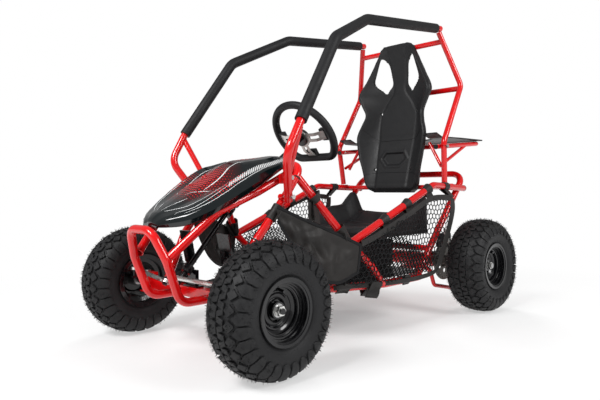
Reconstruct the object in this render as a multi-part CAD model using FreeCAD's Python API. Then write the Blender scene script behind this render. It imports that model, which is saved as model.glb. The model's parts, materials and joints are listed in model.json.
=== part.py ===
import FreeCAD, Part
import os
from math import cos, degrees, pi, radians, sin, tan

# Off-road electric kart for a child: tubular steel frame with a roll cage, electric chain drive,
# tie-rod steering, seat, hood, nets and rear rack. Millimetres. +Z up, the kart drives
# towards -Y and its left side is +X. The origin is on the ground in the middle of the kart.

V = FreeCAD.Vector
X = V(1, 0, 0)
Y = V(0, 1, 0)
Z = V(0, 0, 1)

# ---------------------------------------------------------------- driving dimensions
LENGTH = 1490.0
WHEELBASE = 1112.0
FRONT_TRACK = 712.0
REAR_TRACK = 700.0

TYRE_RADIUS = 177.5
TYRE_WIDTH = 140.0
RIM_FLANGE_RADIUS = 88.0
RIM_BEAD_RADIUS = 77.0
RIM_HALF_WIDTH = 60.0
RIM_WALL = 3.0
HUB_RADIUS = 22.0
HUB_INNER_END = -24.0          # along the axle, measured outwards from the wheel's centre
HUB_OUTER_END = 26.0

MAIN_TUBE = 12.7               # tube radii
CAGE_TUBE = 11.0
RACK_TUBE = 9.5
GUARD_TUBE = 8.0
TUBE_WALL = 1.8
FOAM_RADIUS = 19.0
GAP = 0.5                      # air between pieces that touch on the real kart
RUNNING = 0.05                 # radial clearance of a shaft in its bearing

FRONT_Y = -WHEELBASE / 2
REAR_Y = WHEELBASE / 2
AXLE_Z = TYRE_RADIUS
FRONT_X = FRONT_TRACK / 2
REAR_X = REAR_TRACK / 2
NOSE_Y = -LENGTH / 2 + MAIN_TUBE
TAIL_Y = LENGTH / 2 - RACK_TUBE
RAIL_Z = 167.0                 # lower rails
FLOOR_Z = RAIL_Z + MAIN_TUBE + GAP

KINGPIN_X = 270.0
KINGPIN_RADIUS = 6.0
KNUCKLE_RADIUS = 13.0
KNUCKLE_HALF_HEIGHT = 27.0
YOKE_PLATE = 5.0
YOKE_REACH = 18.0
YOKE_WEB_X = 235.0
STUB_RADIUS = 8.0
STUB_END_X = FRONT_X + 44.0
STEER_ARM = 50.0               # from kingpin to tie rod
STEER_ARM_Z = 199.0
TIE_ROD_Z = 227.0

WHEEL_CENTRE = V(0, -77, 677)          # steering wheel
UNIVERSAL_JOINT = V(0, -417, 424)
STEERING_FOOT = V(0, -617, 200.5)      # lower shaft's axis abreast of the tie rods
PITMAN_ARM = 36.4
PITMAN_OFFSET = 8.5            # each tie rod's end, above or below the pitman plate
SHAFT_RADIUS = 8.0

BALL_RADIUS = 6.5              # tie rod ball joints
ROD_END_BORE = 7.1             # room for the rod to tilt and drop as the wheels turn
ROD_END_RADIUS = 11.0
ROD_END_HALF = 4.5
SPOKE_DEPTH = 20.0             # spoke plate below the rim's plane, along the column
SPOKE_PLATE = 3.5
GRIP_RADIUS = 14.0
GRIP_PATH_RADIUS = 128.0
GRIP_FLAT = 98.0               # from the centre down to the flat bottom of the rim
GRIP_CORNER = 46.0

REAR_AXLE_RADIUS = 10.0
AXLE_HOUSING_RADIUS = 28.0
AXLE_HOUSING_HALF = 140.0
BEARING_RADIUS = 23.5
BEARING_WIDTH = 14.0
DISC_X = 181.0
DISC_RADIUS = 76.0
CHAIN_X = -181.0
CHAIN_PITCH = 8.0
SPROCKET_TEETH = 55
PINION_TEETH = 11
CHAIN_PLATE_HALF = 3.6         # half the chain plate's height
MOTOR_CENTRE = V(0, 424, 238)  # on the motor's shaft
MOTOR_RADIUS = 50.0
MOTOR_SHAFT = 5.0              # radius
MOTOR_START_X = -164.0         # face next to the chain
MOTOR_LENGTH = 118.0
ROTOR_RADIUS = 34.0
ROTOR_LENGTH = 86.0

SEAT_HOLE_RADIUS = 4.5
SEAT_HOLE_X = 93.0
SEAT_HOLE_LEVELS = ((563.0, 450.0), (811.0, 510.0))     # height, depth
TIE_DOWN_RADIUS = 4.25         # holes in the rack tray
TIE_DOWN_X = 130.0
TIE_DOWN_Y = (570.0, 690.0)

PEDAL_X = 100.0
PEDAL_PIVOT_Y = -498.0
PEDAL_PIVOT_Z = 215.0
PEDAL_WIDTH = 56.0
PEDAL_HEIGHT = 140.0

PEDAL_LEAN = radians(12)

# ---------------------------------------------------------------- frame nodes, left side
BUMPER_TOP = V(58, NOSE_Y, 374)
BUMPER_SHOULDER = V(90, -702, 290)
BUMPER_FOOT = V(84, -655, RAIL_Z)
RAIL_WAIST = V(84, -450, RAIL_Z)
RAIL_KNEE = V(240, -181, RAIL_Z)
RAIL_FRONT = V(300, -5, RAIL_Z)
RAIL_REAR = V(300, 205, RAIL_Z)
RAIL_TUCK = V(125, 330, RAIL_Z)
RAIL_END = V(125, REAR_Y - 12, AXLE_Z - 4)
HOOD_RAIL_START = V(87, -690, 300)
HOOD_RAIL_BEND = V(141, -568, 422)
HOOD_RAIL_MID = V(158, -430, 478)
HOOD_RAIL_END = V(176, -306, 540)
DASH_TOP = V(205, -292, 558)
DASH_LEG = V(200, -362, 460)
DASH_KNEE = V(188, -467, 335)
DASH_FOOT = V(158, FRONT_Y, AXLE_Z)
DOOR_TOP = V(202, -312, 522)
DOOR_MID = V(265, -210, 370)
DOOR_JOINT = V(288, -167, 310)
DOOR_LOW = V(300, -78, 233)
DOOR_FOOT = V(300, -20, RAIL_Z)
SIDE_BEND = V(296, 301, 492)
SIDE_REAR = V(270, 562, 479)
SEAT_BAR_END = V(280, 468, 484)
HOOP_FOOT = V(262, 240, RAIL_Z)
HOOP_CROSS = V(262, 325, 254)
HOOP_CORNER = V(262, 588, 538)
ROOF_FOOT = V(230, -376, 450)
ROOF_BEND = V(300, -446, 583)
FOAM_LOW = V(300, -394, 677)
WINDSCREEN_TOP = V(267, -200, 963)
ROOF_FRONT = V(203, 39, 1082)
ROOF_REAR = V(201, 522, 1139)
POST_TOP = V(201, 512, 1122)
POST_BEND = V(266, 568, 900)
POST_HIP = V(272, 420, 662)
POST_FOOT = V(262, 436, 500)
BRACE_TUBE = 9.5
BRACE_FOOT = V(206, -360, 508)
BRACE_BOLT = V(206, -362, 518)
ROOF_BOLT = V(233, -382, 461)
RACK_X = 250.0
RACK_FRONT = V(RACK_X, 400, 642)
RACK_BOLT = V(RACK_X, 423, 644)
RACK_REAR = V(RACK_X, TAIL_Y, 670)


# ---------------------------------------------------------------- geometry helpers
def mirrored(shape):
    """The same shape on the kart's right side."""
    return shape.mirror(V(0, 0, 0), X)


def right(point):
    return V(-point.x, point.y, point.z)


def rounded_path(points, bend_radius):
    """A wire through the points whose corners are rounded by arcs."""
    edges = []
    start = points[0]
    for before, corner, after in zip(points, points[1:], points[2:]):
        to_before = (before - corner).normalize()
        to_after = (after - corner).normalize()
        half_angle = to_before.getAngle(to_after) / 2
        reach = bend_radius / tan(half_angle)
        limit = 0.48 * min((before - corner).Length, (after - corner).Length)
        reach = min(reach, limit)
        radius = reach * tan(half_angle)
        arc_start = corner + to_before * reach
        arc_end = corner + to_after * reach
        bisector = (to_before + to_after).normalize()
        arc_middle = corner + bisector * (radius / sin(half_angle) - radius)
        edges.append(Part.makeLine(start, arc_start))
        edges.append(Part.Arc(arc_start, arc_middle, arc_end).toShape())
        start = arc_end
    edges.append(Part.makeLine(start, points[-1]))
    return Part.Wire(edges)


def rod_along(points, radius, bend_radius=40.0):
    """A round bar that follows the points."""
    path = rounded_path(points, bend_radius)
    circle = Part.makeCircle(radius, points[0], points[1] - points[0])
    return path.makePipeShell([Part.Wire([circle])], True, False)


def fuse(shapes):
    joined = shapes[0].multiFuse(shapes[1:]) if len(shapes) > 1 else shapes[0]
    return joined.removeSplitter()


def tube_weldment(tubes, extras=(), bores=()):
    """Tubes given as (points, radius, bend radius), welded together and hollow inside."""
    outside = [rod_along(points, radius, bend) for points, radius, bend in tubes]
    inside = [rod_along(points, radius - TUBE_WALL, bend) for points, radius, bend in tubes]
    shell = fuse(outside).cut(fuse(inside))
    if extras:
        shell = shell.fuse(list(extras))
    if bores:
        shell = shell.cut(list(bores))
    return shell


def cylinder(radius, start, end):
    return Part.makeCylinder(radius, (end - start).Length, start, end - start)


def ring(outer, inner, start, end):
    return cylinder(outer, start, end).cut(cylinder(inner, start, end))


def box(low, high):
    size = high - low
    return Part.makeBox(size.x, size.y, size.z, low)


def prism(outline, direction):
    """A closed polygon pushed along a direction."""
    return Part.Face(Part.makePolygon(outline + outline[:1])).extrude(direction)


def revolved_about_x(profile):
    """A closed profile of (along the axle, radius) turned about the X axis."""
    outline = [V(along, 0, radius) for along, radius in profile]
    face = Part.Face(Part.makePolygon(outline + outline[:1]))
    return face.revolve(V(0, 0, 0), X, 360)


def hexagon(across_flats, start, end):
    """A hexagonal bar from start to end."""
    axis = (end - start).normalize()
    side = axis.cross(Z if abs(axis.z) < 0.9 else X).normalize()
    other = axis.cross(side)
    corner = across_flats / 2 / cos(pi / 6)
    outline = [start + side * (corner * cos(k * pi / 3)) + other * (corner * sin(k * pi / 3))
               for k in range(6)]
    return prism(outline, end - start)


def bolt(start, end, radius, head_height=6.0):
    """A hexagon bolt with its head at the start and its nut at the end."""
    axis = (end - start).normalize()
    flats = radius * 3.2
    shank = cylinder(radius, start, end)
    head = hexagon(flats, start, start - axis * head_height)
    nut = hexagon(flats, end - axis * head_height, end)
    tip = cylinder(radius, end, end + axis * radius * 0.6)
    return fuse([shank, head, nut, tip])


def frame_matrix(origin, first, second):
    """Placement whose local X is first, local Y is second and local Z is their cross product."""
    third = first.cross(second)
    matrix = FreeCAD.Matrix(
        first.x, second.x, third.x, origin.x,
        first.y, second.y, third.y, origin.y,
        first.z, second.z, third.z, origin.z,
        0, 0, 0, 1,
    )
    return FreeCAD.Placement(matrix)


def placed(shape, placement):
    moved = shape.copy()
    moved.Placement = placement.multiply(moved.Placement)
    return moved


# ---------------------------------------------------------------- frame and cage
def kingpin_yoke():
    """C bracket at the end of the front axle beam, with a bore for the kingpin."""
    low_y = FRONT_Y - YOKE_REACH
    high_y = FRONT_Y + YOKE_REACH
    end_x = KINGPIN_X + YOKE_REACH
    ear_z = KNUCKLE_HALF_HEIGHT + GAP
    web = box(V(YOKE_WEB_X, low_y, AXLE_Z - ear_z - YOKE_PLATE),
              V(YOKE_WEB_X + YOKE_PLATE, high_y, AXLE_Z + ear_z + YOKE_PLATE))
    ears = [box(V(YOKE_WEB_X, low_y, z), V(end_x, high_y, z + YOKE_PLATE))
            for z in (AXLE_Z - ear_z - YOKE_PLATE, AXLE_Z + ear_z)]
    bore = cylinder(KINGPIN_RADIUS + RUNNING, V(KINGPIN_X, FRONT_Y, 0), V(KINGPIN_X, FRONT_Y, 400))
    return fuse([web] + ears).cut(bore)


def front_beam():
    half = 15.0
    return box(V(-YOKE_WEB_X - 1, FRONT_Y - half, AXLE_Z - half),
               V(YOKE_WEB_X + 1, FRONT_Y + half, AXLE_Z + half))


def side_tubes():
    """Centrelines of the left half of the main frame."""
    hood_rail = [HOOD_RAIL_START, HOOD_RAIL_BEND, HOOD_RAIL_MID, HOOD_RAIL_END]
    door_bar = [DOOR_TOP, DOOR_MID, DOOR_JOINT, DOOR_LOW, DOOR_FOOT]
    side_rail = [DOOR_JOINT, SIDE_BEND, SIDE_REAR]
    return [
        (hood_rail, MAIN_TUBE, 90.0),
        (door_bar, MAIN_TUBE, 90.0),
        (side_rail, MAIN_TUBE, 45.0),
    ]


def brake_guard():
    """Small tube loop that keeps stones off the brake disc."""
    x = DISC_X + 24
    points = [V(125, 400, RAIL_Z), V(x, 410, RAIL_Z), V(x, 440, 95), V(x, 560, 70),
              V(x, 668, 100), V(x, 668, 185), V(125, 668, 185)]
    return (points, GUARD_TUBE, 24.0)


def tail_support():
    """Short tubes from the axle housing back to the brake guard."""
    return ([V(125, REAR_Y + 12, AXLE_Z), V(125, 676, 185)], GUARD_TUBE, 10.0)


def main_frame():
    left_rail = [BUMPER_FOOT, RAIL_WAIST, RAIL_KNEE, RAIL_FRONT, RAIL_REAR, RAIL_TUCK, RAIL_END]
    front_half = [BUMPER_TOP, BUMPER_SHOULDER]
    hoop = [right(p) for p in reversed(front_half + left_rail)] + front_half + left_rail
    dash_half = [DASH_TOP, DASH_LEG, DASH_KNEE, DASH_FOOT]
    dash = [right(p) for p in reversed(dash_half)] + dash_half
    rear_half = [HOOP_CORNER, HOOP_FOOT]
    rear_hoop = [right(p) for p in reversed(rear_half)] + rear_half
    tubes = [
        (hoop, MAIN_TUBE, 46.0),
        (dash, MAIN_TUBE, 42.0),
        (rear_hoop, MAIN_TUBE, 60.0),
        ([right(HOOP_CROSS), HOOP_CROSS], CAGE_TUBE, 0.0),
        ([right(RAIL_KNEE), RAIL_KNEE], CAGE_TUBE, 0.0),
        ([right(SEAT_BAR_END), SEAT_BAR_END], RACK_TUBE, 0.0),
        ([V(-84, -470, RAIL_Z), V(84, -470, RAIL_Z)], CAGE_TUBE, 0.0),
        brake_guard(),
        tail_support(),
    ]
    for points, radius, bend in side_tubes():
        tubes.append((points, radius, bend))
        tubes.append(([right(p) for p in points], radius, bend))
    yoke = kingpin_yoke()
    housing = cylinder(AXLE_HOUSING_RADIUS, V(-AXLE_HOUSING_HALF, REAR_Y, AXLE_Z),
                       V(AXLE_HOUSING_HALF, REAR_Y, AXLE_Z))
    bearing_bore = cylinder(BEARING_RADIUS + RUNNING, V(-200, REAR_Y, AXLE_Z), V(200, REAR_Y, AXLE_Z))
    tabs = list(brace_tab())
    extras = [yoke, front_beam(), housing, mirrored(yoke)] + tabs + [mirrored(tab) for tab in tabs]
    bolt_bores = [bolt_hole(ROOF_BOLT, 4.1), bolt_hole(right(ROOF_BOLT), 4.1)]
    return tube_weldment(tubes, extras, [bearing_bore] + bolt_bores)


def roof_rail():
    """Left roof rail with the brace that forks off below the foam sleeve."""
    points = [ROOF_FOOT, ROOF_BEND, FOAM_LOW, WINDSCREEN_TOP, ROOF_FRONT, ROOF_REAR]
    brace = [FOAM_LOW - Z * 14, BRACE_FOOT]
    tubes = [(points, MAIN_TUBE, 60.0), (brace, BRACE_TUBE, 0.0)]
    foot_hole = bolt_hole(ROOF_BOLT, 4.3)
    brace_hole = bolt_hole(BRACE_BOLT, 4.3)
    return tube_weldment(tubes, (), [foot_hole, brace_hole])


def bolt_hole(centre, radius):
    """Hole across the kart at one side."""
    return cylinder(radius, centre - X * 60, centre + X * 60)


def brace_tab():
    """Tab on the dash hoop that the roof rail's brace bolts to, and the boss for its foot."""
    tab = box(V(BRACE_FOOT.x - BRACE_TUBE - 5.5, -378, 500), V(BRACE_FOOT.x - BRACE_TUBE - GAP, -324, 530))
    boss = cylinder(9, V(DASH_LEG.x, ROOF_BOLT.y, ROOF_BOLT.z),
                    V(ROOF_BOLT.x - MAIN_TUBE - 4, ROOF_BOLT.y, ROOF_BOLT.z))
    seat = box(V(250, 420, 484), V(290, 452, POST_FOOT.z - 2))
    return fuse([tab.cut(bolt_hole(BRACE_BOLT, 4.1)), boss.cut(bolt_hole(ROOF_BOLT, 4.1))]), seat


def foam_sleeve():
    """Foam padding over the upper part of the roof rail."""
    start = FOAM_LOW + (WINDSCREEN_TOP - FOAM_LOW) * 0.02
    end = ROOF_FRONT + (ROOF_REAR - ROOF_FRONT) * 0.93
    points = [start, WINDSCREEN_TOP, ROOF_FRONT, end]
    return rod_along(points, FOAM_RADIUS, 60.0).cut(rod_along(points, MAIN_TUBE + RUNNING, 60.0))


def rear_cage():
    post = [POST_TOP, POST_BEND, POST_HIP, POST_FOOT]
    upper = POST_TOP + (POST_BEND - POST_TOP) * 0.17
    middle = POST_BEND
    tubes = [
        (post, CAGE_TUBE, 40.0),
        ([right(p) for p in post], CAGE_TUBE, 40.0),
        ([right(upper), upper], CAGE_TUBE, 0.0),
        ([right(middle) + V(4, -3, -12), middle + V(-4, -3, -12)], CAGE_TUBE, 0.0),
    ]
    hole = bolt_hole(RACK_BOLT, 4.3)
    return tube_weldment(tubes, (), [hole, mirrored(hole)])


def rack_frame():
    """Carrier behind the seat: side tubes, cross tubes and struts down to the cage."""
    def on_side(y):
        return RACK_FRONT + (RACK_REAR - RACK_FRONT) * ((y - RACK_FRONT.y) / (RACK_REAR.y - RACK_FRONT.y))

    front_cross = on_side(503)
    tubes = [([right(front_cross), front_cross], RACK_TUBE, 0.0)]
    loop_left = [RACK_FRONT, RACK_REAR]
    loop = loop_left + [right(p) for p in reversed(loop_left)]
    tubes.append((loop, RACK_TUBE, 30.0))
    strut = [V(RACK_X, 436, 572), on_side(632)]
    tubes.append((strut, CAGE_TUBE * 0.6, 0.0))
    tubes.append(([right(p) for p in strut], CAGE_TUBE * 0.6, 0.0))
    brace = [V(240, 452, 566), V(180, 462, 664)]
    tubes.append((brace, CAGE_TUBE * 0.6, 0.0))
    tubes.append(([right(p) for p in brace], CAGE_TUBE * 0.6, 0.0))
    hole = bolt_hole(RACK_BOLT, 4.3)
    return tube_weldment(tubes, (), [hole, mirrored(hole)])


def rack_tray():
    """Plastic deck on the rack, with a raised ear at each side of the seat and tie-down holes."""
    deck_z = RACK_REAR.z + RACK_TUBE + GAP
    thickness = 5.0
    half = [V(140, 520, deck_z), V(190, 470, deck_z), V(190, 440, deck_z), V(252, 440, deck_z),
            V(268, 560, deck_z), V(268, 735, deck_z)]
    deck = prism(half + [right(p) for p in reversed(half)], Z * thickness)
    ear = prism([V(190, 440, deck_z), V(190, 440, deck_z + thickness),
                 V(190, 402, deck_z + 19), V(190, 402, deck_z + 19 - thickness)], X * 62)
    holes = [cylinder(TIE_DOWN_RADIUS, V(x, y, 0), V(x, y, 900))
             for x in (-TIE_DOWN_X, TIE_DOWN_X) for y in TIE_DOWN_Y]
    return fuse([deck, ear, mirrored(ear)]).cut(holes)


def tube_end_plugs():
    """Plastic plugs in the open tube ends: side rails and rack tubes."""
    ends = [(SIDE_REAR, SIDE_REAR - SIDE_BEND, MAIN_TUBE),
            (RACK_FRONT, RACK_FRONT - RACK_REAR, RACK_TUBE)]
    plugs = []
    for end, outwards, radius in ends:
        direction = V(outwards).normalize()
        cap = cylinder(radius, end + direction * GAP, end + direction * 5)
        stem = cylinder(radius - TUBE_WALL - GAP, end - direction * 8, end + direction * GAP)
        plug = fuse([cap, stem])
        plugs.append(plug)
        plugs.append(mirrored(plug))
    return Part.makeCompound(plugs)


def frame_bolts():
    """Bolts that hold the roof rails and the rack."""
    places = [(ROOF_BOLT, DASH_LEG.x + 4, ROOF_BOLT.x + MAIN_TUBE + 10),
              (BRACE_BOLT, BRACE_BOLT.x - 19, BRACE_BOLT.x + BRACE_TUBE + 14),
              (RACK_BOLT, RACK_X - RACK_TUBE - 6, POST_HIP.x + CAGE_TUBE + 1)]
    bolts = []
    for centre, inner_x, outer_x in places:
        shank = cylinder(4, V(inner_x, centre.y, centre.z), V(outer_x, centre.y, centre.z))
        head = hexagon(13, V(outer_x, centre.y, centre.z), V(outer_x + 5, centre.y, centre.z))
        bolts.append(fuse([shank, head]))
        bolts.append(mirrored(bolts[-1]))
    return Part.makeCompound(bolts)


# ---------------------------------------------------------------- body panels
def hood_section(y, half_width, low_z, high_z, inset):
    """One cross-section of the hood: a crowned arch with steep sides over a flat base."""
    w = half_width - inset
    top = high_z - inset
    base = low_z - (0.0 if inset == 0 else 6.0)
    rise = top - base
    arch = Part.BSplineCurve()
    arch.interpolate([V(-w, y, base), V(-w * 0.94, y, base + rise * 0.45),
                      V(-w * 0.76, y, base + rise * 0.82), V(0, y, top),
                      V(w * 0.76, y, base + rise * 0.82), V(w * 0.94, y, base + rise * 0.45),
                      V(w, y, base)])
    return Part.Wire([arch.toShape(), Part.makeLine(V(w, y, base), V(-w, y, base))])


def hood():
    """Moulded nose panel, open underneath."""
    # y, half width, lower edge, crown
    stations = [(-692, 34, 376, 393), (-640, 134, 390, 436), (-560, 164, 424, 500),
                (-500, 174, 455, 538), (-430, 184, 497, 570), (-380, 188, 530, 582),
                (-320, 184, 564, 594), (-240, 150, 578, 602)]
    skin = 3.5
    outer = Part.makeLoft([hood_section(*station, 0) for station in stations], True)
    first_y, last_y = stations[0][0], stations[-1][0]
    inner_stations = [(first_y - 2,) + stations[0][1:]] + stations[1:-1]
    inner_stations.append((last_y + 2,) + stations[-1][1:])
    inner = Part.makeLoft([hood_section(*station, skin) for station in inner_stations], True)
    return outer.cut(inner)


def seat_back():
    """Curved bucket back: each level is a band bent around the driver."""
    thickness = 12.0
    # height, half width, depth at the centre, depth at the edges
    levels = [(462, 112, 432, 424), (500, 132, 440, 420), (600, 158, 466, 414),
              (700, 169, 494, 416), (800, 158, 512, 452), (890, 186, 522, 446),
              (1000, 134, 514, 476), (1100, 76, 490, 482)]
    wires = []
    for z, w, centre_y, edge_y in levels:
        middle_y = centre_y * 0.8 + edge_y * 0.2
        front = Part.BSplineCurve()
        front.interpolate([V(-w, edge_y, z), V(-w * 0.55, middle_y, z), V(0, centre_y, z),
                           V(w * 0.55, middle_y, z), V(w, edge_y, z)])
        back = Part.BSplineCurve()
        back.interpolate([V(w, edge_y + thickness, z), V(w * 0.55, middle_y + thickness, z),
                          V(0, centre_y + thickness, z), V(-w * 0.55, middle_y + thickness, z),
                          V(-w, edge_y + thickness, z)])
        wires.append(Part.Wire([front.toShape(),
                                Part.makeLine(V(w, edge_y, z), V(w, edge_y + thickness, z)),
                                back.toShape(),
                                Part.makeLine(V(-w, edge_y + thickness, z), V(-w, edge_y, z))]))
    shell = Part.makeLoft(wires, True, True)
    holes = [cylinder(SEAT_HOLE_RADIUS, V(x, y - 60, z), V(x, y + 60, z))
             for x, y, z in seat_hole_places()]
    window = [V(86, 400, 1052), V(68, 400, 1052), V(44, 400, 1022), V(34, 400, 935),
              V(68, 400, 896), V(122, 400, 945)]
    windows = [prism(window, Y * 200), prism([right(p) for p in window], Y * 200)]
    return shell.cut(holes + windows)


def seat_hole_places():
    return [(side * SEAT_HOLE_X, y, z) for side in (-1, 1) for z, y in SEAT_HOLE_LEVELS]


def seat_base():
    """Seat pan with a side bolster at each edge."""
    half = 148.0
    pan = prism([V(-half, 40, 300), V(-half, 40, 338), V(-half, 110, 326), V(-half, 280, 326),
                 V(-half, 372, 382), V(-half, 405, 382), V(-half, 405, 300)], X * (2 * half))
    bolster = prism([V(half, 90, 300), V(half, 90, 340), V(half, 255, 404), V(half, 340, 408),
                     V(half, 384, 458), V(half, 412, 458), V(half, 420, 300)], X * 44)
    return fuse([pan, bolster, mirrored(bolster)])


def floor_pan():
    """Sheet floor on top of the lower rails."""
    half = [V(80, -610, FLOOR_Z), V(80, -460, FLOOR_Z), V(232, -190, FLOOR_Z),
            V(284, -40, FLOOR_Z), V(284, 205, FLOOR_Z), V(200, 262, FLOOR_Z)]
    outline = half + [right(p) for p in reversed(half)]
    pan = prism(outline, Z * 2)
    beam_gap = box(V(-300, FRONT_Y - 16, 0), V(300, FRONT_Y + 16, 400))
    front_cut = box(V(-300, -700, 0), V(300, FRONT_Y, 400))
    pillars = [rod_along([right(p) if side < 0 else p for p in (DOOR_LOW, DOOR_FOOT)],
                         MAIN_TUBE + 2, 0.0) for side in (-1, 1)]
    return pan.cut([beam_gap, front_cut] + pillars)


def battery_pack():
    body = box(V(-125, 30, FLOOR_Z + 3), V(125, 285, FLOOR_Z + 105))
    return body.makeFillet(10, body.Edges)


def side_net(thickness=3.0):
    """Net that closes the side between the side rail and the lower rail."""
    x = 316.0
    outline = [V(x, -205, 214), V(x, -130, 262), V(x, -120, 285), V(x, 285, 446), V(x, 392, 446),
               V(x, 392, 400), V(x, 268, 214)]
    return prism(outline, X * thickness)


def fabric_panel():
    """Knee panel of coated fabric beside the pedals."""
    start = V(222, -415, 0)
    along = V(96, 275, 0)
    across = V(275, -96, 0).normalize()

    def place(y, z):
        return start + along * ((y + 415) / 275) + Z * z

    outline = [place(-415, 438), place(-146, 303), place(-160, 268), place(-250, 238),
               place(-335, 320), place(-415, 405)]
    return prism(outline, across * 3)


# ---------------------------------------------------------------- wheels
def wheel_tyre():
    """Hollow balloon tyre, centred on the origin with its axle along X."""
    outer_half = [(53, 78.5), (55.5, 88), (61, 95), (68, 110), (70, 126), (67, 148),
                  (55, 167), (30, 175.8)]
    inner_half = [(44, 78.5), (46, 88), (52, 98), (59, 112), (61, 126), (58, 145),
                  (47, 159), (26, 167)]

    def curve(half, crown):
        points = [V(u, 0, r) for u, r in half] + [V(0, 0, crown)]
        points += [V(-u, 0, r) for u, r in reversed(half)]
        spline = Part.BSplineCurve()
        spline.interpolate(points)
        return spline.toShape()

    outer = curve(outer_half, TYRE_RADIUS)
    inner = curve(inner_half, 168.5)
    beads = [Part.makeLine(V(side * 53, 0, 78.5), V(side * 44, 0, 78.5)) for side in (1, -1)]
    section = Part.Face(Part.Wire([outer, beads[1], inner, beads[0]]))
    return section.revolve(V(0, 0, 0), X, 360)


def wheel_rim(bore_radius):
    """Pressed steel rim, outer face towards +X, with its hub and valve."""
    flange = RIM_FLANGE_RADIUS
    edge = RIM_HALF_WIDTH
    barrel = revolved_about_x([
        (-edge + 3, flange), (-54, RIM_BEAD_RADIUS), (-36, 76), (-31, 64),
        (31, 64), (36, 76), (54, RIM_BEAD_RADIUS), (edge - 3, flange),
        (edge, flange), (57, 74), (38.5, 73), (33, 61),
        (-33, 61), (-38.5, 73), (-57, 74), (-edge, flange)])
    disc = revolved_about_x([(16, 62.5), (19, 62.5), (19, 46), (13, 40), (13, 20),
                             (10, 20), (10, 41), (16, 47)])
    hub = cylinder(HUB_RADIUS, X * HUB_INNER_END, X * HUB_OUTER_END)
    valve = cylinder(4, V(24, 0, 54), V(48, 0, 50))
    valve_seat = cylinder(6, V(17, 0, 54), V(25, 0, 54))
    bore = cylinder(bore_radius, X * -80, X * 80)
    return fuse([barrel, disc, hub, valve_seat, valve]).cut(bore)


def wheel_bearings():
    """Two ball bearings in a front hub."""
    width = 11.0
    starts = (HUB_INNER_END, HUB_OUTER_END - width)
    rings = [ring(17.5, STUB_RADIUS + RUNNING, X * s, X * (s + width)) for s in starts]
    return Part.makeCompound(rings)


def hub_nut(bore_radius):
    washer = ring(13.5, bore_radius, X * (HUB_OUTER_END + GAP), X * (HUB_OUTER_END + 3))
    nut = hexagon(24, X * (HUB_OUTER_END + 3), X * (HUB_OUTER_END + 13))
    nut = nut.cut(cylinder(bore_radius, X * 20, X * 60))
    return fuse([washer, nut])


def at_wheel(shape, x, y, side):
    """Move a wheel piece from the origin to its axle; side -1 is the kart's right."""
    piece = shape if side > 0 else mirrored(shape)
    return piece.translated(V(side * x, y, AXLE_Z))


# ---------------------------------------------------------------- front axle and steering
def knuckle():
    """Left steering knuckle: sleeve, stub axle and arm with its ball stud."""
    x, y = KINGPIN_X, FRONT_Y
    sleeve = cylinder(KNUCKLE_RADIUS, V(x, y, AXLE_Z - KNUCKLE_HALF_HEIGHT),
                      V(x, y, AXLE_Z + KNUCKLE_HALF_HEIGHT))
    stub = cylinder(STUB_RADIUS, V(x, y, AXLE_Z), V(STUB_END_X, y, AXLE_Z))
    shoulder = cylinder(STUB_RADIUS + 4, V(x, y, AXLE_Z),
                        V(FRONT_X + HUB_INNER_END - GAP, y, AXLE_Z))
    arm = box(V(x - 8, y - STEER_ARM - 9, STEER_ARM_Z - 3), V(x + 8, y, STEER_ARM_Z + 3))
    stud = cylinder(5, V(x, y - STEER_ARM, STEER_ARM_Z), V(x, y - STEER_ARM, TIE_ROD_Z + 18))
    ball = Part.makeSphere(BALL_RADIUS, V(x, y - STEER_ARM, TIE_ROD_Z))
    nut = hexagon(14, V(x, y - STEER_ARM, TIE_ROD_Z + 10), V(x, y - STEER_ARM, TIE_ROD_Z + 16))
    body = fuse([sleeve, stub, shoulder, arm, stud, ball, nut])
    return body.cut(cylinder(KINGPIN_RADIUS + RUNNING, V(x, y, 0), V(x, y, 400)))


def kingpin_bolts():
    reach = KNUCKLE_HALF_HEIGHT + YOKE_PLATE + 1
    left = bolt(V(KINGPIN_X, FRONT_Y, AXLE_Z + reach), V(KINGPIN_X, FRONT_Y, AXLE_Z - reach - 7),
                KINGPIN_RADIUS)
    return Part.makeCompound([left, mirrored(left)])


def steering_axes():
    """Unit vectors along the upper and the lower steering shaft, both pointing down."""
    upper = (UNIVERSAL_JOINT - WHEEL_CENTRE).normalize()
    lower = (STEERING_FOOT - UNIVERSAL_JOINT).normalize()
    return upper, lower


def pitman_tip():
    """Middle of the stud on the pitman arm."""
    lower = steering_axes()[1]
    forwards_up = X.cross(lower).normalize() * -1
    return STEERING_FOOT + forwards_up * PITMAN_ARM


def tie_rod(side):
    """Tie rod with its two rod ends. The left one sits above the pitman plate, the right one below."""
    lower = steering_axes()[1]
    inner = pitman_tip() - lower * (PITMAN_OFFSET * side)
    outer = V(KINGPIN_X * side, FRONT_Y - STEER_ARM, TIE_ROD_Z)
    direction = (outer - inner).normalize()
    tube = cylinder(6.5, inner + direction * 34, outer - direction * 34)
    shank = cylinder(4, inner + direction * 9, outer - direction * 9)
    jam_nuts = [hexagon(13, inner + direction * 28, inner + direction * 34),
                hexagon(13, outer - direction * 34, outer - direction * 28)]
    eyes = [cylinder(ROD_END_RADIUS, inner - lower * ROD_END_HALF, inner + lower * ROD_END_HALF),
            cylinder(ROD_END_RADIUS, outer - Z * ROD_END_HALF, outer + Z * ROD_END_HALF)]
    bores = [cylinder(ROD_END_BORE, inner - lower * 8, inner + lower * 8),
             cylinder(ROD_END_BORE, outer - Z * 20, outer + Z * 20)]
    return fuse([tube, shank] + jam_nuts + eyes).cut(bores)


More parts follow.
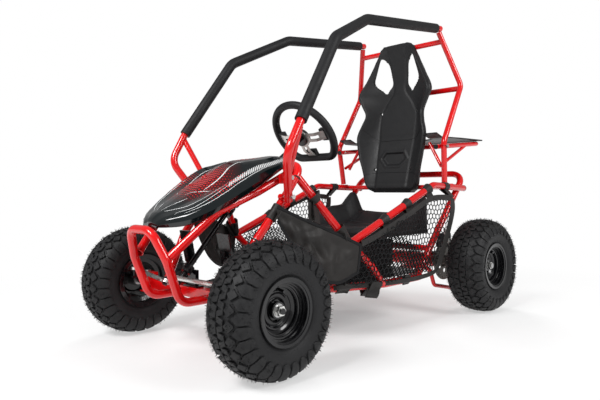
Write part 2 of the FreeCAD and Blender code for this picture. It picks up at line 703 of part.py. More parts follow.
def lower_steering_shaft():
    """Shaft below the universal joint with the fork on top and the pitman arm at its foot."""
    lower = steering_axes()[1]
    half_plate = 2.5
    shaft = cylinder(SHAFT_RADIUS, UNIVERSAL_JOINT + lower * 22, STEERING_FOOT + lower * half_plate)
    tip = pitman_tip()
    towards_tip = (tip - STEERING_FOOT).normalize()
    base = STEERING_FOOT - lower * half_plate
    arm = prism([base - X * 13 - towards_tip * 12, base + X * 13 - towards_tip * 12,
                 base + X * 9 + towards_tip * (PITMAN_ARM + 9),
                 base - X * 9 + towards_tip * (PITMAN_ARM + 9)], lower * (2 * half_plate))
    stud_reach = PITMAN_OFFSET + 11
    stud = cylinder(5, tip - lower * stud_reach, tip + lower * stud_reach)
    ends = []
    for side in (-1, 1):
        joint = tip + lower * (PITMAN_OFFSET * side)
        ends.append(Part.makeSphere(BALL_RADIUS, joint))
        ends.append(hexagon(14, joint + lower * (6 * side), joint + lower * (11 * side)))
    return fuse([shaft, arm, fork(lower, X.cross(lower), 1), stud] + ends)


def fork(axis, ear_direction, side):
    """Universal joint fork: a disc and two ears that hold the cross."""
    ear_side = V(ear_direction).normalize()
    other = axis.cross(ear_side)
    base = UNIVERSAL_JOINT + axis * (22.0 * side)
    disc = cylinder(17, base, base + axis * (6.0 * side))
    shape = disc
    for sign in (-1, 1):
        corner = UNIVERSAL_JOINT + ear_side * (sign * 12.5) - other * 7 - axis * (8.0 * side)
        ear = prism([corner, corner + other * 14, corner + other * 14 + axis * (31.0 * side),
                     corner + axis * (31.0 * side)], ear_side * (sign * 4))
        shape = shape.fuse(ear)
    hole_radius = 5.6 if side < 0 else 3.0 + RUNNING
    hole = cylinder(hole_radius, UNIVERSAL_JOINT - ear_side * 30, UNIVERSAL_JOINT + ear_side * 30)
    return shape.cut(hole).removeSplitter()


def universal_joint_cross():
    """Cross of the universal joint: four short pins on a small block."""
    lower = steering_axes()[1]
    arms = [X, X.cross(lower).normalize()]
    pins = [cylinder(3, UNIVERSAL_JOINT - arm * 16, UNIVERSAL_JOINT + arm * 16) for arm in arms]
    block = [cylinder(5, UNIVERSAL_JOINT - arm * 9, UNIVERSAL_JOINT + arm * 9) for arm in arms]
    return fuse(block + pins)


def steering_shaft():
    """Upper steering shaft with its fork at the bottom and a flange for the wheel."""
    upper = steering_axes()[0]
    shaft = cylinder(SHAFT_RADIUS, WHEEL_CENTRE + upper * (SPOKE_DEPTH + SPOKE_PLATE + 1),
                     UNIVERSAL_JOINT - upper * 22)
    flange = cylinder(28, WHEEL_CENTRE + upper * (SPOKE_DEPTH + SPOKE_PLATE + GAP),
                      WHEEL_CENTRE + upper * (SPOKE_DEPTH + SPOKE_PLATE + 6))
    return fuse([shaft, flange, fork(upper, X, -1)])


def steering_wheel_frame():
    """Placement of the wheel: X across, Y up the wheel's face, Z down the column."""
    upper = steering_axes()[0]
    return frame_matrix(WHEEL_CENTRE, X, upper.cross(X))


def spoke_plates(clearance=0.0):
    """Three flat spokes that step up from the hub plate to the rim."""
    reach = GRIP_PATH_RADIUS - 8
    low = SPOKE_DEPTH - clearance
    high = SPOKE_DEPTH + SPOKE_PLATE + clearance
    hub = Part.makeCylinder(36, high - low, V(0, 0, low))
    pieces = [hub]
    for angle, length in ((0, reach), (180, reach), (270, GRIP_FLAT - 6)):
        bend = length * 0.6
        half = 17.0 + clearance
        rise = [V(24, -half, low), V(bend, -half, low), V(length, -half, low - SPOKE_DEPTH + 2),
                V(length, -half, high - SPOKE_DEPTH + 2), V(bend, -half, high), V(24, -half, high)]
        spoke = prism(rise, Y * (2 * half))
        if clearance == 0.0:
            slot = Part.makeBox(length * 0.36, 12, 60, V(length * 0.36, -6, -20))
            spoke = spoke.cut(slot)
        spoke.rotate(V(0, 0, 0), Z, angle)
        pieces.append(spoke)
    return fuse(pieces)


def steering_spokes():
    return placed(spoke_plates(), steering_wheel_frame())


def steering_grip():
    """Padded D-shaped rim with a pad over the end of each spoke."""
    radius, flat, corner = GRIP_PATH_RADIUS, GRIP_FLAT, GRIP_CORNER
    centre_x = ((radius - corner) ** 2 - (flat - corner) ** 2) ** 0.5
    corner_centre = V(centre_x, corner - flat, 0)
    outwards = V(corner_centre).normalize()
    join = outwards * radius
    middle = corner_centre + (outwards + V(0, -1, 0)).normalize() * corner
    bottom = V(centre_x, -flat, 0)
    path = Part.Wire([
        Part.Arc(join, V(0, radius, 0), right(join)).toShape(),
        Part.Arc(right(join), right(middle), right(bottom)).toShape(),
        Part.makeLine(right(bottom), bottom),
        Part.Arc(bottom, middle, join).toShape(),
    ])
    profile = Part.Wire([Part.makeCircle(GRIP_RADIUS, join, V(-outwards.y, outwards.x, 0))])
    torus = path.makePipeShell([profile], True, False)
    pads = []
    for angle, end in ((0, radius), (180, radius), (270, flat)):
        pad = Part.makeBox(30, 46, 14, V(end - 38, -23, -4))
        pad.rotate(V(0, 0, 0), Z, angle)
        pads.append(pad)
    grip = fuse([torus] + pads).cut(spoke_plates(0.3))
    return placed(grip, steering_wheel_frame())


def steering_hub_pad():
    """Soft pad over the middle of the steering wheel."""
    top = SPOKE_DEPTH - GAP
    pad = Part.makeCylinder(33, 16, V(0, 0, top - 16))
    pad = pad.makeFillet(6, [e for e in pad.Edges if e.Curve.TypeId == "Part::GeomCircle"
                             and e.CenterOfMass.z < top - 10])
    return placed(pad, steering_wheel_frame())


def column_bracket():
    """Bracket under the dash hoop that carries the upper steering bearing."""
    upper = steering_axes()[0]
    middle = WHEEL_CENTRE + upper * 262
    bush = cylinder(16, middle - upper * 14, middle + upper * 14)
    hanger = box(V(-22, middle.y - 4, middle.z), V(22, middle.y + 4, DASH_TOP.z - MAIN_TUBE - 1))
    saddle = box(V(-22, middle.y - 18, DASH_TOP.z - MAIN_TUBE - 5),
                 V(22, middle.y + 18, DASH_TOP.z - MAIN_TUBE - 1))
    bore = cylinder(SHAFT_RADIUS + RUNNING, WHEEL_CENTRE, UNIVERSAL_JOINT)
    hoop_space = cylinder(MAIN_TUBE + GAP, V(-200, DASH_TOP.y, DASH_TOP.z), V(200, DASH_TOP.y, DASH_TOP.z))
    return fuse([bush, hanger, saddle]).cut([bore, hoop_space])


def steering_foot_bearing():
    """Bearing block on the front beam for the lower steering shaft."""
    lower = steering_axes()[1]
    middle = STEERING_FOOT - lower * 62
    block = cylinder(16, middle - lower * 12, middle + lower * 12)
    beam_top = AXLE_Z + 15
    post = box(V(-20, FRONT_Y - 6, beam_top + 0.2), V(20, FRONT_Y + 6, middle.z - 4))
    foot = box(V(-34, FRONT_Y - 14, beam_top + 0.2), V(34, FRONT_Y + 14, beam_top + 5))
    shaft_space = cylinder(SHAFT_RADIUS + RUNNING, UNIVERSAL_JOINT, STEERING_FOOT)
    return fuse([block, post, foot]).cut(shaft_space)


# ---------------------------------------------------------------- pedals
def pedal_bracket(x):
    """Floor bracket of one pedal with two ears for the pivot pin."""
    foot = box(V(x - 22, PEDAL_PIVOT_Y - 30, FLOOR_Z + 2.5), V(x + 22, PEDAL_PIVOT_Y + 30, FLOOR_Z + 6))
    ears = [box(V(x + dx, PEDAL_PIVOT_Y - 12, FLOOR_Z + 6),
                V(x + dx + 4, PEDAL_PIVOT_Y + 12, PEDAL_PIVOT_Z + 12)) for dx in (-22, 18)]
    spring_post = box(V(x - 6, PEDAL_PIVOT_Y - 34, FLOOR_Z + 2.5), V(x + 6, PEDAL_PIVOT_Y - 30, 253))
    pin_bore = cylinder(4 + RUNNING, V(x - 40, PEDAL_PIVOT_Y, PEDAL_PIVOT_Z),
                        V(x + 40, PEDAL_PIVOT_Y, PEDAL_PIVOT_Z))
    return fuse([foot, spring_post] + ears).cut(pin_bore)


def pedal_brackets():
    return Part.makeCompound([pedal_bracket(x) for x in (-PEDAL_X, PEDAL_X)])


def pedal_pivot_pins():
    pins = []
    for x in (-PEDAL_X, PEDAL_X):
        shank = cylinder(4, V(x - 26, PEDAL_PIVOT_Y, PEDAL_PIVOT_Z), V(x + 26, PEDAL_PIVOT_Y, PEDAL_PIVOT_Z))
        head = cylinder(7, V(x - 26, PEDAL_PIVOT_Y, PEDAL_PIVOT_Z), V(x - 22.5, PEDAL_PIVOT_Y, PEDAL_PIVOT_Z))
        pins.append(shank.fuse(head))
    return Part.makeCompound(pins)


def pedal(x):
    """Pedal lever with a ribbed foot plate, leaning forwards at rest."""
    pivot = V(x, PEDAL_PIVOT_Y, PEDAL_PIVOT_Z)
    hub = cylinder(9, pivot - X * 17, pivot + X * 17)
    lever = box(V(x - 9, PEDAL_PIVOT_Y - 5, PEDAL_PIVOT_Z), V(x + 9, PEDAL_PIVOT_Y + 5, PEDAL_PIVOT_Z + 90))
    plate_low = PEDAL_PIVOT_Z + 36
    plate = box(V(x - PEDAL_WIDTH / 2, PEDAL_PIVOT_Y + 4, plate_low),
                V(x + PEDAL_WIDTH / 2, PEDAL_PIVOT_Y + 10, PEDAL_PIVOT_Z + PEDAL_HEIGHT))
    ribs = [box(V(x - 24, PEDAL_PIVOT_Y + 9, z), V(x + 24, PEDAL_PIVOT_Y + 13, z + 4))
            for z in [plate_low + 10 + 15 * k for k in range(6)]]
    shape = fuse([hub, lever, plate] + ribs)
    shape.rotate(pivot, X, degrees(PEDAL_LEAN))
    return shape.cut(cylinder(4 + RUNNING, pivot - X * 40, pivot + X * 40))


def pedal_spring(x):
    """Return spring between the pedal lever and the post of its bracket."""
    radius, wire = 6.0, 1.0
    length = 13.2
    helix = Part.makeHelix(2.9, length, radius)
    profile = Part.Wire([Part.makeCircle(wire, V(radius, 0, 0), Y)])
    coil = Part.Wire(helix.Edges).makePipeShell([profile], True, True)
    coil.rotate(V(0, 0, 0), X, 90)
    return coil.translated(V(x, PEDAL_PIVOT_Y - 13.8, PEDAL_PIVOT_Z + 30))


# ---------------------------------------------------------------- rear axle and drive
def rear_axle():
    end = REAR_X + 44
    shaft = cylinder(REAR_AXLE_RADIUS, V(-end, REAR_Y, AXLE_Z), V(end, REAR_Y, AXLE_Z))
    collars = [cylinder(15, V(s * (AXLE_HOUSING_HALF + 1.5), REAR_Y, AXLE_Z), V(s * 164, REAR_Y, AXLE_Z))
               for s in (-1, 1)]
    spacers = [cylinder(15, V(s * 200, REAR_Y, AXLE_Z),
                        V(s * (REAR_X + HUB_INNER_END - GAP), REAR_Y, AXLE_Z)) for s in (-1, 1)]
    return fuse([shaft] + collars + spacers)


def rear_axle_bearings():
    rings = []
    for side in (-1, 1):
        start = V(side * (AXLE_HOUSING_HALF - BEARING_WIDTH), REAR_Y, AXLE_Z)
        end = V(side * AXLE_HOUSING_HALF, REAR_Y, AXLE_Z)
        rings.append(ring(BEARING_RADIUS, REAR_AXLE_RADIUS + RUNNING, start, end))
    return Part.makeCompound(rings)


def brake_disc():
    """Vented disc on a hub, keyed to the rear axle."""
    centre = V(DISC_X, REAR_Y, AXLE_Z)
    disc = cylinder(DISC_RADIUS, centre - X * 2, centre + X * 2)
    hub = cylinder(24, centre - X * 16, centre + X * 18)
    vents = []
    for k in range(24):
        angle = 2 * pi * k / 24
        radius = DISC_RADIUS - (8 if k % 2 else 19)
        place = centre + V(0, radius * cos(angle), radius * sin(angle))
        vents.append(cylinder(3.6, place - X * 5, place + X * 5))
    windows = []
    for k in range(6):
        angle = 2 * pi * (k + 0.5) / 6
        place = centre + V(0, 38 * cos(angle), 38 * sin(angle))
        windows.append(cylinder(9, place - X * 5, place + X * 5))
    bore = cylinder(REAR_AXLE_RADIUS + RUNNING, centre - X * 40, centre + X * 40)
    return disc.fuse(hub).cut(vents + windows + [bore])


def brake_caliper():
    """Caliper over the top of the disc on a bracket that stands on the axle housing."""
    y = REAR_Y
    body = box(V(163, y - 27, 236), V(199, y + 27, 292))
    slot = box(V(DISC_X - 3.2, y - 60, 200), V(DISC_X + 3.2, y + 60, 262))
    plate = box(V(157, y - 12, 206.5), V(163.5, y + 12, 280))
    tab = box(V(112, y - 12, 206.5), V(160, y + 12, 212))
    bosses = [cylinder(6, V(157, y + dy, 276), V(200.5, y + dy, 276)) for dy in (-19.5, 19.5)]
    pin = cylinder(4, V(190, y, 252), V(215, y, 252))
    return fuse([body.cut(slot), plate, tab, pin] + bosses)


def caliper_lever():
    """Lever that the brake cable pulls, on the outer face of the caliper."""
    y = REAR_Y
    boss = cylinder(10, V(201.5, y, 252), V(211, y, 252))
    arm = prism([V(202, y - 8, 250), V(202, y + 8, 250), V(202, y - 24, 312), V(202, y - 36, 306)], X * 6)
    eye = cylinder(7, V(202, y - 30, 308), V(208, y - 30, 308))
    bore = cylinder(4 + RUNNING, V(190, y, 252), V(220, y, 252))
    cable_hole = cylinder(3, V(190, y - 30, 308), V(220, y - 30, 308))
    return fuse([boss, arm, eye]).cut([bore, cable_hole])


def sprocket(teeth, thickness, bore_radius, hub_radius, hub_length):
    """Toothed wheel in the YZ plane, centred on the origin, hub towards +X."""
    pitch_radius = CHAIN_PITCH / 2 / sin(pi / teeth)
    outline = []
    for k in range(teeth):
        for part, radius in ((-0.32, pitch_radius - 2.4), (-0.14, pitch_radius + 1.6),
                             (0.14, pitch_radius + 1.6), (0.32, pitch_radius - 2.4)):
            angle = 2 * pi * (k + part) / teeth
            outline.append(V(-thickness / 2, radius * cos(angle), radius * sin(angle)))
    wheel = prism(outline, X * thickness)
    hub = cylinder(hub_radius, V(0, 0, 0), X * hub_length)
    shape = wheel.fuse(hub)
    if bore_radius:
        shape = shape.cut(cylinder(bore_radius, X * -30, X * (hub_length + 30)))
    return shape


def axle_sprocket():
    wheel = sprocket(SPROCKET_TEETH, 3.0, REAR_AXLE_RADIUS + RUNNING, 24, 16)
    windows = []
    for k in range(6):
        angle = 2 * pi * k / 6
        windows.append(cylinder(12, V(-5, 46 * cos(angle), 46 * sin(angle)),
                                V(5, 46 * cos(angle), 46 * sin(angle))))
    return wheel.cut(windows).translated(V(CHAIN_X, REAR_Y, AXLE_Z))


def motor_pinion():
    """Drive sprocket on the motor's shaft."""
    wheel = sprocket(PINION_TEETH, 3.0, 0, 9, 12)
    rotor_start = MOTOR_START_X + 16 - CHAIN_X
    shaft = cylinder(MOTOR_SHAFT, X * -4, X * (rotor_start + 1))
    rotor = cylinder(ROTOR_RADIUS, X * rotor_start, X * (rotor_start + ROTOR_LENGTH))
    return fuse([wheel, shaft, rotor]).translated(V(CHAIN_X, MOTOR_CENTRE.y, MOTOR_CENTRE.z))


def drive_motor():
    y, z = MOTOR_CENTRE.y, MOTOR_CENTRE.z
    start = V(MOTOR_START_X, y, z)
    can = cylinder(MOTOR_RADIUS, start, start + X * MOTOR_LENGTH)
    nose = cylinder(20, start - X * 1.5, start + X * 2)
    grooves = [ring(MOTOR_RADIUS + 2, MOTOR_RADIUS - 2, start + X * (24 + 9 * k), start + X * (28 + 9 * k))
               for k in range(9)]
    foot = box(V(MOTOR_START_X + 12, y - 34, FLOOR_Z + 5), V(MOTOR_START_X + 104, y + 34, z - 42))
    bore = cylinder(MOTOR_SHAFT + RUNNING, start - X * 4, start + X * 36)
    cavity = cylinder(ROTOR_RADIUS + 2, start + X * 14, start + X * (18 + ROTOR_LENGTH))
    return fuse([can.cut(grooves), nose, foot]).cut([bore, cavity])


def chain_loop(offset, x_low, x_high):
    """Solid slab whose rim follows the chain line at an offset."""
    big_radius = CHAIN_PITCH / 2 / sin(pi / SPROCKET_TEETH) + offset
    small_radius = CHAIN_PITCH / 2 / sin(pi / PINION_TEETH) + offset
    big = V(x_low, REAR_Y, AXLE_Z)
    small = V(x_low, MOTOR_CENTRE.y, MOTOR_CENTRE.z)
    run = V(small - big)
    distance = run.Length
    direction = run.normalize()
    normal = X.cross(direction)
    lean = (big_radius - small_radius) / distance
    upright = (1 - lean ** 2) ** 0.5
    tangents = [direction * lean + normal * (upright * s) for s in (1, -1)]
    a, b = [big + t * big_radius for t in tangents]
    c, d = [small + t * small_radius for t in tangents]
    wire = Part.Wire([
        Part.Arc(b, big - direction * big_radius, a).toShape(),
        Part.makeLine(a, c),
        Part.Arc(c, small + direction * small_radius, d).toShape(),
        Part.makeLine(d, b),
    ])
    slab = Part.Face(wire).extrude(X * (x_high - x_low))
    pins_between = [(a, c), (d, b)]
    return slab, pins_between


def drive_chain():
    """Roller chain: two rows of side plates joined by pins along the straight runs."""
    plates = []
    for low, high in ((CHAIN_X - 4.6, CHAIN_X - 2.4), (CHAIN_X + 2.4, CHAIN_X + 4.6)):
        outer, _ = chain_loop(CHAIN_PLATE_HALF, low, high)
        inner, _ = chain_loop(-CHAIN_PLATE_HALF, low, high)
        plates.append(outer.cut(inner))
    _, runs = chain_loop(0.0, CHAIN_X - 4.6, CHAIN_X + 4.6)
    pins = []
    for start, end in runs:
        run = end - start
        steps = int(run.Length // CHAIN_PITCH)
        for k in range(3, steps - 2):
            place = start + run * (k / steps)
            pins.append(cylinder(2.4, place, place + X * 9.2))
    return fuse(plates + pins)


# ---------------------------------------------------------------- write every piece
def build_pieces():
    tyre = wheel_tyre()
    front_rim = wheel_rim(17.5 + RUNNING)
    rear_rim = wheel_rim(REAR_AXLE_RADIUS + RUNNING)
    bearings = wheel_bearings()
    front_nut = hub_nut(STUB_RADIUS + RUNNING)
    rear_nut = hub_nut(REAR_AXLE_RADIUS + RUNNING)
    pieces = {
        "main_frame": main_frame(),
        "rear_cage": rear_cage(),
        "rack_frame": rack_frame(),
        "rack_tray": rack_tray(),
        "tube_end_plugs": tube_end_plugs(),
        "frame_bolts": frame_bolts(),
        "hood": hood(),
        "seat_back": seat_back(),
        "seat_base": seat_base(),
        "floor_pan": floor_pan(),
        "battery_pack": battery_pack(),
        "kingpin_bolts": kingpin_bolts(),
        "lower_steering_shaft": lower_steering_shaft(),
        "universal_joint_cross": universal_joint_cross(),
        "steering_shaft": steering_shaft(),
        "steering_spokes": steering_spokes(),
        "steering_grip": steering_grip(),
        "steering_hub_pad": steering_hub_pad(),
        "column_bracket": column_bracket(),
        "steering_foot_bearing": steering_foot_bearing(),
        "pedal_brackets": pedal_brackets(),
        "pedal_pivot_pins": pedal_pivot_pins(),
        "brake_pedal": pedal(PEDAL_X),
        "accelerator_pedal": pedal(-PEDAL_X),
        "brake_pedal_spring": pedal_spring(PEDAL_X),
        "accelerator_spring": pedal_spring(-PEDAL_X),
        "rear_axle": rear_axle(),
        "rear_axle_bearings": rear_axle_bearings(),
        "brake_disc": brake_disc(),
        "brake_caliper": brake_caliper(),
        "caliper_lever": caliper_lever(),
        "axle_sprocket": axle_sprocket(),
        "motor_pinion": motor_pinion(),
        "drive_motor": drive_motor(),
        "drive_chain": drive_chain(),
        "rear_hub_nuts": Part.makeCompound([at_wheel(rear_nut, REAR_X, REAR_Y, s) for s in (1, -1)]),
    }
    left_pieces = {
        "roof_rail": roof_rail(),
        "foam_sleeve": foam_sleeve(),
        "side_net": side_net(),
        "fabric_panel": fabric_panel(),
        "knuckle": knuckle(),
    }
    for name, shape in left_pieces.items():
        pieces[name + "_left"] = shape
        pieces[name + "_right"] = mirrored(shape)
    for side, word in ((1, "left"), (-1, "right")):
        pieces["tie_rod_" + word] = tie_rod(side)
        pieces["tyre_front_" + word] = at_wheel(tyre, FRONT_X, FRONT_Y, side)
        pieces["tyre_rear_" + word] = at_wheel(tyre, REAR_X, REAR_Y, side)
        pieces["rim_front_" + word] = at_wheel(front_rim, FRONT_X, FRONT_Y, side)
        pieces["rim_rear_" + word] = at_wheel(rear_rim, REAR_X, REAR_Y, side)
        pieces["wheel_bearings_" + word] = at_wheel(bearings, FRONT_X, FRONT_Y, side)
        pieces["hub_nut_front_" + word] = at_wheel(front_nut, FRONT_X, FRONT_Y, side)
    return pieces


os.makedirs("parts", exist_ok=True)
for piece_name, piece in build_pieces().items():
    piece.exportStep("parts/" + piece_name + ".step")
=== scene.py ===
import json
import math
import random

import bpy
from mathutils import Matrix, Vector
from mathutils import noise as mathnoise

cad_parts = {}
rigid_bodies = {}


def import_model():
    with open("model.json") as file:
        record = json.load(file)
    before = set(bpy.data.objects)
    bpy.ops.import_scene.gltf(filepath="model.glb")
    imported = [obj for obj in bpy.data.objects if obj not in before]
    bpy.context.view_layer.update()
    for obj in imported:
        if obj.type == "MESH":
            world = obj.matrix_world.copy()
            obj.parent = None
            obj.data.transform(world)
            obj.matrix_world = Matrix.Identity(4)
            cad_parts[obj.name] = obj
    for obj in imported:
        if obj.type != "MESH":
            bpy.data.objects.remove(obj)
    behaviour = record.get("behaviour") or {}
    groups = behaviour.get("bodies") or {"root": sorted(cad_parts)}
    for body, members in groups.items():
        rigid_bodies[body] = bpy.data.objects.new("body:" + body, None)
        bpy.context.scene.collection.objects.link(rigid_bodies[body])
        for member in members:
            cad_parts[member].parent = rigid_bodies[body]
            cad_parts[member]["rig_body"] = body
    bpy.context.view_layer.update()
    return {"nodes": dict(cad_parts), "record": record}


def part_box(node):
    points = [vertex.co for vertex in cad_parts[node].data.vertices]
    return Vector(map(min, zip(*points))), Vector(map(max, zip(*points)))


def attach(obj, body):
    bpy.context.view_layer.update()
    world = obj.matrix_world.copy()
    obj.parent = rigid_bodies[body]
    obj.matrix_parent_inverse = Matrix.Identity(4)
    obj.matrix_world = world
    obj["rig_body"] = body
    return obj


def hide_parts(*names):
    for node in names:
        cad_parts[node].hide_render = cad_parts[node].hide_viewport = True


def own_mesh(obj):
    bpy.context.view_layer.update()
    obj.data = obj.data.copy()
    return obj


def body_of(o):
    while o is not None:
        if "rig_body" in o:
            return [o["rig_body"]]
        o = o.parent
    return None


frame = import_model()
record = frame["record"]
nodes = frame["nodes"]
random.seed(7)

UP = Vector((0, 0, 1))
SIDES = ((1, "left"), (-1, "right"))


# ================================================================ materials
MIX_FACTOR, MIX_FIRST, MIX_SECOND, MIX_RESULT = 0, 6, 7, 2      # sockets of a colour mix node
CLOUD_RANGE = (0.3, 0.7)             # the part of a noise's values that is used
CONVEX_RANGE = (0.53, 0.60)          # pointiness from where wear starts to where it is full
WEAR_SCALE = 90.0
SMEAR_SCALE = 38.0


def set_inputs(tree, node, inputs):
    """Links the values that are sockets and sets the others."""
    for name, value in inputs.items():
        if isinstance(value, bpy.types.NodeSocket):
            tree.links.new(value, node.inputs[name])
        else:
            node.inputs[name].default_value = value


def add_node(tree, kind, settings=None, inputs=None):
    """A shader node with its properties and inputs set."""
    node = tree.nodes.new(kind)
    for name, value in (settings or {}).items():
        setattr(node, name, value)
    set_inputs(tree, node, inputs or {})
    return node


def rgba(colour):
    return (colour[0], colour[1], colour[2], 1.0)


def grey(value):
    return (value, value, value)


def scaled(colour, factor):
    return tuple(min(1.0, c * factor) for c in colour)


def start_material(name):
    """A new material: its tree, its main shader and the object coordinates."""
    material = bpy.data.materials.new(name)
    material.use_nodes = True
    tree = material.node_tree
    shader = tree.nodes["Principled BSDF"]
    coordinates = add_node(tree, "ShaderNodeTexCoord").outputs["Object"]
    return material, tree, shader, coordinates


def noise(tree, coordinates, scale, detail=4.0, roughness=0.55):
    inputs = {"Vector": coordinates, "Scale": scale, "Detail": detail, "Roughness": roughness}
    return add_node(tree, "ShaderNodeTexNoise", None, inputs).outputs["Fac"]


def ramp(tree, factor, low, high, low_value=0.0, high_value=1.0):
    """Maps factor from low..high to low_value..high_value."""
    inputs = {"Value": factor, "From Min": low, "From Max": high,
              "To Min": low_value, "To Max": high_value}
    return add_node(tree, "ShaderNodeMapRange", None, inputs).outputs["Result"]


def mix_colour(tree, factor, first, second):
    """Mixes two colours; each is a socket or three numbers."""
    colours = [rgba(colour) if isinstance(colour, tuple) else colour for colour in (first, second)]
    node = add_node(tree, "ShaderNodeMix", {"data_type": "RGBA"},
                    {MIX_FACTOR: factor, MIX_FIRST: colours[0], MIX_SECOND: colours[1]})
    return node.outputs[MIX_RESULT]


def maths(tree, operation, first, second):
    return add_node(tree, "ShaderNodeMath", {"operation": operation},
                    {0: first, 1: second}).outputs[0]


def length_of(tree, vector):
    node = add_node(tree, "ShaderNodeVectorMath", {"operation": "LENGTH"}, {0: vector})
    return node.outputs["Value"]


def bump(tree, height, strength, distance):
    inputs = {"Height": height, "Strength": strength, "Distance": distance}
    return add_node(tree, "ShaderNodeBump", None, inputs).outputs["Normal"]


def edge_wear(tree, coordinates, amount):
    """Bright where the surface is convex, broken up by noise."""
    point = add_node(tree, "ShaderNodeNewGeometry").outputs["Pointiness"]
    edge = ramp(tree, point, *CONVEX_RANGE)
    broken = ramp(tree, noise(tree, coordinates, WEAR_SCALE), 0.45, 0.62)
    return maths(tree, "MULTIPLY", maths(tree, "MULTIPLY", edge, broken), amount)


def coated(name, colour, roughness, metallic=0.0, coat=0.0, grain=400.0, grain_depth=0.0001,
           variation=0.12, wear=0.0, worn=None, sheen=0.0, specular=0.3):
    """General finish: mottled colour, uneven roughness, fine bump and worn edges."""
    material, tree, shader, coordinates = start_material(name)
    cloud = ramp(tree, noise(tree, coordinates, 9.0, 5.0), *CLOUD_RANGE)
    tint = mix_colour(tree, cloud, scaled(colour, 1.0 - variation), scaled(colour, 1.0 + variation))
    rough = ramp(tree, noise(tree, coordinates, SMEAR_SCALE), *CLOUD_RANGE,
                 max(0.02, roughness - 0.06), min(1.0, roughness + 0.07))
    if wear:
        edge = edge_wear(tree, coordinates, wear)
        tint = mix_colour(tree, edge, tint, worn)
        rough = maths(tree, "ADD", rough, maths(tree, "MULTIPLY", edge, 0.15))
    fine = noise(tree, coordinates, grain, 3.0)
    set_inputs(tree, shader, {
        "Base Color": tint, "Roughness": rough, "Normal": bump(tree, fine, 0.6, grain_depth),
        "Metallic": metallic, "Coat Weight": coat, "Coat Roughness": 0.06,
        "Sheen Weight": sheen, "Specular IOR Level": specular})
    return material


def brushed(name, colour, roughness, stretch):
    """Metal with fine scratches, drawn out where the stretch is small."""
    material, tree, shader, coordinates = start_material(name)
    drawn = add_node(tree, "ShaderNodeMapping", None,
                     {"Vector": coordinates, "Scale": stretch}).outputs["Vector"]
    scratches = noise(tree, drawn, 60.0, 6.0, 0.7)
    cloud = ramp(tree, noise(tree, coordinates, 14.0), *CLOUD_RANGE)
    tint = mix_colour(tree, cloud, scaled(colour, 0.8), scaled(colour, 1.1))
    tint = mix_colour(tree, edge_wear(tree, coordinates, 0.3), tint, scaled(colour, 1.3))
    rough = ramp(tree, scratches, 0.2, 0.8, roughness - 0.08, roughness + 0.15)
    set_inputs(tree, shader, {"Base Color": tint, "Roughness": rough, "Metallic": 1.0,
                              "Normal": bump(tree, scratches, 0.3, 0.0001)})
    return material


def hood_finish():
    """Glossy near-black that turns dark red round the middle of the scoop."""
    material = coated("hood_plastic", (0.002, 0.005, 0.006), 0.10, coat=0.6, specular=0.4)
    tree = material.node_tree
    shader = tree.nodes["Principled BSDF"]
    place = add_node(tree, "ShaderNodeTexCoord").outputs["Object"]
    spread = add_node(tree, "ShaderNodeMapping", None,
                      {"Vector": place, "Location": (0.0, 4.9, 0.0), "Scale": (9.5, 9.5, 0.0)})
    redness = ramp(tree, length_of(tree, spread.outputs["Vector"]), 0.25, 1.15, 0.85, 0.0)
    plain = shader.inputs["Base Color"].links[0].from_socket
    set_inputs(tree, shader, {"Base Color": mix_colour(tree, redness, plain, (0.13, 0.002, 0.004))})
    return material


RED = (0.66, 0.003, 0.004)
# colour, roughness, and what differs from a plain finish
COATED = {
    "frame_paint": (RED, 0.17, dict(coat=0.5, grain=260.0, grain_depth=0.00005, variation=0.08,
                                    wear=0.25, worn=(0.72, 0.02, 0.02), specular=0.4)),
    "foam": ((0.008, 0.008, 0.009), 0.55, dict(grain=900.0, grain_depth=0.0003, variation=0.25)),
    "black_paint": ((0.004, 0.004, 0.005), 0.20,
                    dict(coat=0.4, grain=300.0, wear=0.3, worn=grey(0.06))),
    "black_plastic": ((0.009, 0.009, 0.010), 0.42,
                      dict(grain=700.0, grain_depth=0.0002, wear=0.4, worn=grey(0.04))),
    "seat_plastic": ((0.013, 0.013, 0.014), 0.46,
                     dict(grain=800.0, grain_depth=0.0004, wear=0.3, worn=grey(0.04))),
    "grip": ((0.009, 0.009, 0.010), 0.50, dict(grain=1100.0, grain_depth=0.0004)),
    "tyre_rubber": ((0.011, 0.011, 0.012), 0.58,
                    dict(grain=600.0, grain_depth=0.0003, variation=0.3, wear=0.5,
                         worn=grey(0.03))),
    "panel_fabric": ((0.015, 0.013, 0.012), 0.52,
                     dict(grain=900.0, grain_depth=0.0003, variation=0.3, sheen=0.05)),
    "net_fabric": ((0.006, 0.006, 0.007), 0.75, {}),
    "motor_casing": ((0.05, 0.05, 0.052), 0.38, dict(metallic=0.7, wear=0.5, worn=grey(0.4))),
    "spring_steel": (grey(0.03), 0.35, dict(metallic=0.9)),
    "cast_caliper": ((0.03, 0.03, 0.032), 0.45, dict(metallic=0.6, wear=0.6, worn=grey(0.35))),
    "decal_white": ((0.72, 0.74, 0.74), 0.25, dict(coat=0.8, variation=0.05)),
    "decal_red": ((0.55, 0.012, 0.016), 0.25, dict(coat=0.8, variation=0.10)),
}
# colour, roughness, stretch of the scratches
BRUSHED = {
    "spoke_aluminium": ((0.72, 0.69, 0.66), 0.32, (1.0, 0.1, 0.1)),
    "zinc": ((0.74, 0.74, 0.72), 0.26, (1.0, 1.0, 0.3)),
    "bearing_steel": (grey(0.50), 0.30, (0.2, 1.0, 1.0)),
    "chain_steel": ((0.16, 0.15, 0.14), 0.38, (1.0, 1.0, 1.0)),
}
MATERIALS = {"hood_plastic": hood_finish()}
for name, (colour, roughness, extra) in COATED.items():
    MATERIALS[name] = coated(name, colour, roughness, **extra)
for name, finish in BRUSHED.items():
    MATERIALS[name] = brushed(name, *finish)

